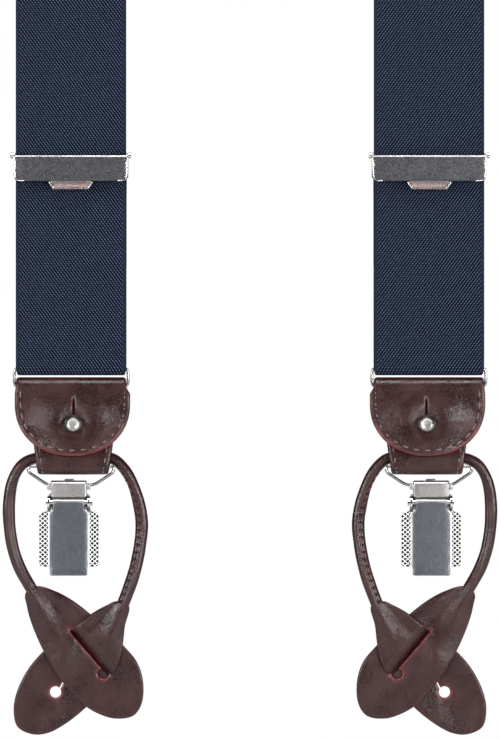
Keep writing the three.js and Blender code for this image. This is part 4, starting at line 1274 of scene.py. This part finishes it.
clip = {"x": -0.7, "y": -0.35, "z": -35.2, "wingHalf": 9.6, "wingTop": -8.8, "wingBottom": -26.6, "neck": 5.9,
        "pinY": -1.95, "pinZ": -5.6}
jaw = {"y": -0.25, "z": -7.2, "gauge": 0.8, "roll": 0.7}
lever = {"barrel": 1.3, "neckHalf": 5.2, "half": 6.1, "widen": -9, "bottom": -29.4, "flange": 0.6, "kick": 0.45,
         "kickHeight": 3.4, "gauge": 0.65, "over": 0.35}


def clipPiece(name, shape, look, end, sharp=None):
    # A shape in the clip's frame: from the middle of the bail's lower bar.
    points, faces, *uv = shape
    points = np.asarray(points, float) + np.array([clip["x"], clip["y"], clip["z"]])
    return makePiece(name, points, faces, look, end, uv[0] if uv else None, sharp=sharp)


def mirrored(half):
    # The points of the right side, then the same ones on the left in the other order.
    return [*half, *[(-x, z) for x, z in half[::-1]]]


def makeJaw(end):
    neck, half, top, bottom = (clip[key] for key in ("neck", "wingHalf", "wingTop", "wingBottom"))
    corners = [(-neck, jaw["z"]), (-neck, top), (-half, top), (-half, bottom), (half, bottom), (half, top),
               (neck, top), (neck, jaw["z"])]
    outline = denseLoop(roundedCorners(corners, 1.2), 0.5)
    points, faces, uv, gap = sheetShape(outline, [], 0.3, 0.25, lambda x, z: jaw["y"] + 0 * x, jaw["gauge"])
    first, second = uv[:, 0] / knurl["wide"], uv[:, 1] / knurl["tall"]
    rays = [np.abs((v + 0.5) % 1 - 0.5) for v in (first + second, first - second)]
    pit = np.clip((np.minimum(*rays) - 0.08) / 0.1, 0, 1) * (gap > 0.3) * (np.abs(uv[:, 0]) > knurl["plain"])
    onFront = points[:, 1] < jaw["y"]
    points[:, 1] += np.where(onFront, knurl["deep"] * pit, 0)
    plate = clipPiece(end + "Jaw", (points, faces, uv), "knurl", end)
    rod = rodShape(jaw["roll"], neck, (0, jaw["y"], jaw["z"]), 20)
    roll = clipPiece(end + "JawRoll", rod, "clipMetal", end, 40)
    piece = joined(end + "Jaw", [plate, roll])
    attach(piece, end + "_jaw")
    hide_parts(end + "_clip_jaw")


def makeLever(end):
    v = lever
    neck, half, top, widen = v["neckHalf"], v["half"], clip["pinZ"] + v["over"], v["widen"]
    face = clip["pinY"] - v["barrel"] + v["gauge"] / 2
    corners = [(-neck, top), (-neck, widen + 0.5), (-half, widen - 0.3), (-half, v["bottom"]),
               (half, v["bottom"]), (half, widen - 0.3), (neck, widen + 0.5), (neck, top)]
    outline = denseLoop(roundedCorners(corners, 0.8), 0.5)

    def depthOf(x, z):
        kick = np.clip((v["bottom"] + v["kickHeight"] - z) / v["kickHeight"], 0, 1) ** 1.5 * v["kick"]
        return face - kick + 0.12 * (x / half) ** 4

    plate = sheetShape(outline, [], 0.8, v["gauge"] / 2, depthOf, v["gauge"])
    parts = [clipPiece(end + "Lever", plate[:3], "leverMetal", end)]
    rod = rodShape(v["barrel"], neck, (0, clip["pinY"], clip["pinZ"]), 24)
    parts.append(clipPiece(end + "LeverRoll", rod, "clipMetal", end, 40))
    inner = jaw["y"] - jaw["gauge"] / 2 - 0.3
    # Painted highlight: the side flanges are the same sheet as the lever but take the bright wire finish, as
    # bright lines down the lever's sides.
    for side in (-1, 1):
        low, high = (face, v["bottom"] + 2.4), (inner, widen - 0.9)
        shape = sideBlock(side, half - v["flange"], half, low, high, 0.12)
        parts.append(clipPiece(f"{end}FlangeHighlight{side}", shape, "brightWire", end, 50))
    piece = joined(end + "Lever", parts)
    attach(piece, end + "_lever")
    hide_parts(end + "_clip_lever")


hairpin = {"knuckle": 1.175, "gauge": 0.65, "half": 5.8, "legEnd": -4.25, "shoulder": 6.9, "earTop": -3.4,
           "earBottom": -8.4, "earInner": 6.2, "earOuter": 6.9, "earFront": 1.1, "lugInner": 5.6,
           "lugOuter": 7.0, "lipHalf": 9}


def prismShape(outline, low, high):
    # An outline of (y, z) points made solid between two x places.
    count = len(outline)
    points = [(x, y, z) for x in (low, high) for y, z in outline]
    faces = [(k, (k + 1) % count, count + (k + 1) % count, count + k) for k in range(count)]
    return np.array(points), [*faces, tuple(range(count))[::-1], tuple(range(count, 2 * count))]


def makeClipBack(end):
    h = hairpin
    path = [(-h["knuckle"], z) for z in np.linspace(h["legEnd"], -0.3, 6)]
    path += arc(0, 0, h["knuckle"], 180, 0, 12) + [(h["knuckle"], z) for z in (-0.8, -2, -3.2)]
    band = bandShape(cleanPath(np.array(path)), h["half"], h["gauge"], 7)
    parts = [clipPiece(end + "ClipBack", band, "clipMetal", end)]
    half = [(h["half"], -2), (h["half"], h["earTop"] + 0.6), (h["shoulder"], h["earTop"]),
            (h["shoulder"], clip["wingTop"]), (clip["wingHalf"], clip["wingTop"]),
            (clip["wingHalf"], clip["wingBottom"])]
    outline = denseLoop(roundedCorners(mirrored(half), 1.2), 0.7)
    plate = sheetShape(outline, [], 1.2, 0.3, lambda x, z: h["knuckle"] + 0 * x, h["gauge"])
    parts.append(clipPiece(end + "ClipPlate", plate[:3], "clipMetal", end))
    front = clip["pinY"] - h["earFront"]
    ear = [(h["knuckle"], h["earTop"]), (h["knuckle"], h["earBottom"]), (-0.85, h["earBottom"]),
           (front, clip["pinZ"] - 1.3), (front, clip["pinZ"] + 1), (front + 1.5, h["earTop"])]
    ear = roundedCorners(ear, 0.9, 5)
    # Painted highlight: the ears are the same sheet as the back plate but take the bright wire finish, for the
    # bright lines they show edge-on.
    for side in (-1, 1):
        low, high = sorted((side * h["earInner"], side * h["earOuter"]))
        parts.append(clipPiece(f"{end}EarHighlight{side}", prismShape(ear, low, high), "brightWire", end, 50))
        lug = sideBlock(side, h["lugInner"], h["lugOuter"], (-1.1, -1.5), (0.2, 0.35), 0.3)
        parts.append(clipPiece(f"{end}Lug{side}", lug, "clipMetal", end, 50))
    bump = blockShape((-1.4, -0.7, 0.9), (1.7, 0.9, 2.0), 0.35)
    parts.append(clipPiece(end + "Bump", bump, "leverMetal", end, 50))
    bottom = clip["wingBottom"]
    lip = blockShape((-h["lipHalf"], 0.5, bottom), (h["lipHalf"], 1.3, bottom + 1.2), 0.2)
    parts.append(clipPiece(end + "ClipLip", lip, "clipMetal", end, 50))
    piece = joined(end + "ClipBack", parts)
    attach(piece, end + "_clip")
    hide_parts(end + "_clip_back")


for endName in ends:
    makeJaw(endName)
    makeLever(endName)
    makeClipBack(endName)
print("clips made")


# ---- adjuster ----

cover = {"half": 18.3, "top": 71.0, "bottom": 63.6, "gauge": 0.8, "barrel": 1.45, "roll": 0.95, "drop": 0.65,
         "lipTop": 14.5, "lipBottom": 11.9, "lipEnd": 60.9, "lipGauge": 0.75, "sideGauge": 0.55, "rimHighlightWire": 0.2,
         "lipEndHighlightWire": 0.34}
pin = {"radius": 0.3, "collar": 0.95, "collarFrom": 18.85, "reach": 19.6, "hollow": 0.42}


def makeCover(end):
    c = cover
    face = adjuster["pinY"] - c["barrel"] + c["gauge"] / 2

    def depthOf(x, z):
        return face - 0.1 + 0.25 * np.clip((c["bottom"] + 1.5 - z) / 1.5, 0, 1) + 0.15 * (x / c["half"]) ** 8

    half, top, bottom = c["half"], c["top"], c["bottom"]
    corners = [(-half, bottom), (half, bottom), (half, top + 0.6), (-half, top + 0.6)]
    outline = denseLoop(roundedCorners(corners, 1.5), 0.6)
    points, faces, uv, gap = sheetShape(outline, [], 1.0, c["gauge"] / 2, depthOf, c["gauge"])
    parts = [makePiece(end + "Cover", points, faces, "coverMetal", end, uv)]
    # Painted highlight: the cover's rolled top edge takes the brighter clip finish instead of the cover's own,
    # as a bright band along the top.
    slim = c["roll"] - 0.15
    profile = [(0, -half), (slim, -half), (c["roll"], 0.15 - half), (c["roll"], half - 0.15), (slim, half),
               (0, half)]
    points, faces = turnedShape(profile, (0, adjuster["pinY"], adjuster["pinZ"] - c["drop"]), 28, "x")
    parts.append(makePiece(end + "CoverRollHighlight", points, faces, "clipMetal", end, sharp=40))
    for side in (-1, 1):
        # Painted highlight: the cover's side walls take the bright wire finish, as bright lines down its sides.
        points, faces = sideBlock(side, half - c["sideGauge"], half, (face, bottom + 1), (-1.1, top), 0.15)
        parts.append(makePiece(f"{end}CoverSideHighlight{side}", points, faces, "brightWire", end, sharp=50))
        # Painted highlight: a thin bright wire laid along each side and lower corner of the cover, as the
        # bright rounded outline of its edge.
        bend = ((0.2, top - 0.5), (0.2, bottom + 1.6), (0.75, bottom + 0.55), (1.7, bottom + 0.2),
                (3.2, bottom + 0.15))
        rim = curveThrough([(side * (half - inset), face - 0.3, z) for inset, z in bend], False, 6)
        points, faces = wireShape(rim, c["rimHighlightWire"], False, 8)
        parts.append(makePiece(f"{end}CoverRimHighlight{side}", points, faces, "brightWire", end))
        # Painted highlight: a thin bright wire along each slanted end of the lip, as the bright ends of its
        # curled corners.
        lipEndHighlightPath = np.array([(side * (c["lipTop"] / 2 - 0.1), face - 0.1, bottom - 0.1),
                            (side * (c["lipBottom"] / 2 - 0.35), face - 0.7, c["lipEnd"] + 0.5)])
        points, faces = wireShape(evenly(lipEndHighlightPath, 0.5), c["lipEndHighlightWire"], False, 8)
        parts.append(makePiece(f"{end}LipEndHighlight{side}", points, faces, "brightWire", end))
    lip = [(-c["lipTop"] / 2, bottom + 0.7), (-c["lipBottom"] / 2, c["lipEnd"]),
           (c["lipBottom"] / 2, c["lipEnd"]), (c["lipTop"] / 2, bottom + 0.7)]
    outline = denseLoop(roundedCorners(lip, 0.5), 0.5)

    def lipDepth(x, z):
        down = np.clip((c["bottom"] + 0.2 - z) / 2.7, 0, 1)
        return face + 0.2 - 0.75 * down ** 1.4 + 0.5 * np.clip(np.abs(x) / 7.0, 0, 1) ** 8

    points, faces, uv, gap = sheetShape(outline, [], 0.6, 0.3, lipDepth, c["lipGauge"])
    parts.append(makePiece(end + "CoverLip", points, faces, "lipMetalPaintedReflection", end, uv))
    piece = joined(end + "Cover", parts)
    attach(piece, end + "_cover")
    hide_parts(end + "_adjuster_cover")


def makePin(end):
    p = pin
    reach = p["reach"]
    half = [(p["radius"], p["collarFrom"] - 0.1), (p["collar"], p["collarFrom"]), (p["collar"], reach - 0.1),
            (p["collar"] - 0.12, reach), (p["hollow"], reach), (p["hollow"] - 0.08, reach - 0.35),
            (0, reach - 0.4)]
    profile = [(r, -x) for r, x in half[::-1]] + half
    points, faces = turnedShape(profile, (0, adjuster["pinY"], adjuster["pinZ"]), 20, "x")
    piece = makePiece(end + "Pin", points, faces, "brightWire", end, sharp=35)
    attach(piece, end + "_adjuster")
    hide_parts(end + "_adjuster_pin")


cheeks = {"inner": 18.08, "outer": 18.5, "front": -3.1, "back": 6.4, "bottom": 65, "top": 73, "bar": 0.9}


def makeFrame(end):
    c = cheeks
    parts = []
    for side in (-1, 1):
        low, high = (c["front"], c["bottom"]), (c["back"], c["top"])
        points, faces = sideBlock(side, c["inner"], c["outer"], low, high, 0.2)
        parts.append(makePiece(f"{end}Cheek{side}", points, faces, "satinNickel", end, sharp=50))
    points, faces = rodShape(c["bar"], c["outer"], (0, loop["barZ"], adjuster["barZ"]), 20)
    parts.append(makePiece(end + "Bar", points, faces, "satinNickel", end, sharp=40))
    piece = joined(end + "Frame", parts)
    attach(piece, end + "_adjuster")
    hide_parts(end + "_adjuster_frame")


for endName in ("left", "right"):
    makeCover(endName)
    makePin(endName)
    makeFrame(endName)


# ---- metal parts that keep their modelled shape ----

def finishNode(node, look):
    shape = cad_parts[node].data
    shape.materials.clear()
    shape.materials.append(looks[look])


for endName in ends:
    finishNode(endName + "_stud_screw", "brightWire")
    finishNode(endName + "_clip_pin", "brightWire")
print("adjusters made")


# ---- floor, world and lights ----

# Metres and watts.
stage = {"floorZ": -0.86, "floorSize": 4.0, "floorGlow": 0.9, "sky": 1.0, "room": 0.04, "aim": (0, 0, -0.55)}
lights = (("keyLeft", (-1.5, -0.95, -0.2), 0.6, 20), ("keyRight", (1.5, -0.95, -0.3), 0.6, 20),
          ("top", (0, -0.8, 0.75), 0.6, 14), ("behind", (0, 1.5, 0.2), 1.2, 8),
          ("sheenLeft", (-0.7, -1.5, -0.32), 0.3, 6.0), ("sheenRight", (0.7, -1.5, -0.4), 0.3, 9.0))


def makeStage():
    bpy.ops.mesh.primitive_plane_add(size=stage["floorSize"], location=(0, 0, stage["floorZ"]))
    floor = bpy.context.object
    floor.name = "floor"
    material = bpy.data.materials.new("floorPale")
    material.use_nodes = True
    surface = material.node_tree.nodes["Principled BSDF"].inputs
    surface["Base Color"].default_value = (0.9, 0.9, 0.9, 1)
    surface["Roughness"].default_value = 0.9
    surface["Emission Color"].default_value = (1, 1, 1, 1)
    tree = material.node_tree
    seen = addNode(tree, "ShaderNodeLightPath").outputs["Is Camera Ray"]
    tree.links.new(calc(tree, "MULTIPLY", seen, stage["floorGlow"]), surface["Emission Strength"])
    floor.data.materials.append(material)


def makeWorld():
    world = bpy.data.worlds.new("studio")
    world.use_nodes = True
    scene.world = world
    tree = world.node_tree
    tree.nodes.clear()
    around = addNode(tree, "ShaderNodeTexCoord").outputs["Generated"]
    direction = addNode(tree, "ShaderNodeSeparateXYZ", {0: around}).outputs
    above = stretch(tree, direction[2], -0.3, 0.9, 0.6, 1.8)
    room = calc(tree, "MULTIPLY", above, stage["room"])
    seen = addNode(tree, "ShaderNodeLightPath").outputs["Is Camera Ray"]
    strength = addNode(tree, "ShaderNodeMix", {0: seen, 2: room, 3: stage["sky"]}, data_type="FLOAT").outputs[0]
    back = addNode(tree, "ShaderNodeBackground", {0: (1, 1, 1, 1), 1: strength})
    addNode(tree, "ShaderNodeOutputWorld", {0: back.outputs[0]})


def makeLights():
    for name, place, size, power in lights:
        data = bpy.data.lights.new(name, "AREA")
        data.size = size
        data.energy = power
        lamp = bpy.data.objects.new(name, data)
        lamp.location = place
        aim = Vector(stage["aim"]) - Vector(place)
        lamp.rotation_euler = aim.to_track_quat("-Z", "Y").to_euler()
        lamp.visible_camera = False
        scene.collection.objects.link(lamp)


makeStage()
makeWorld()
makeLights()
scene.view_settings.view_transform = "Standard"
print("stage and lights made")
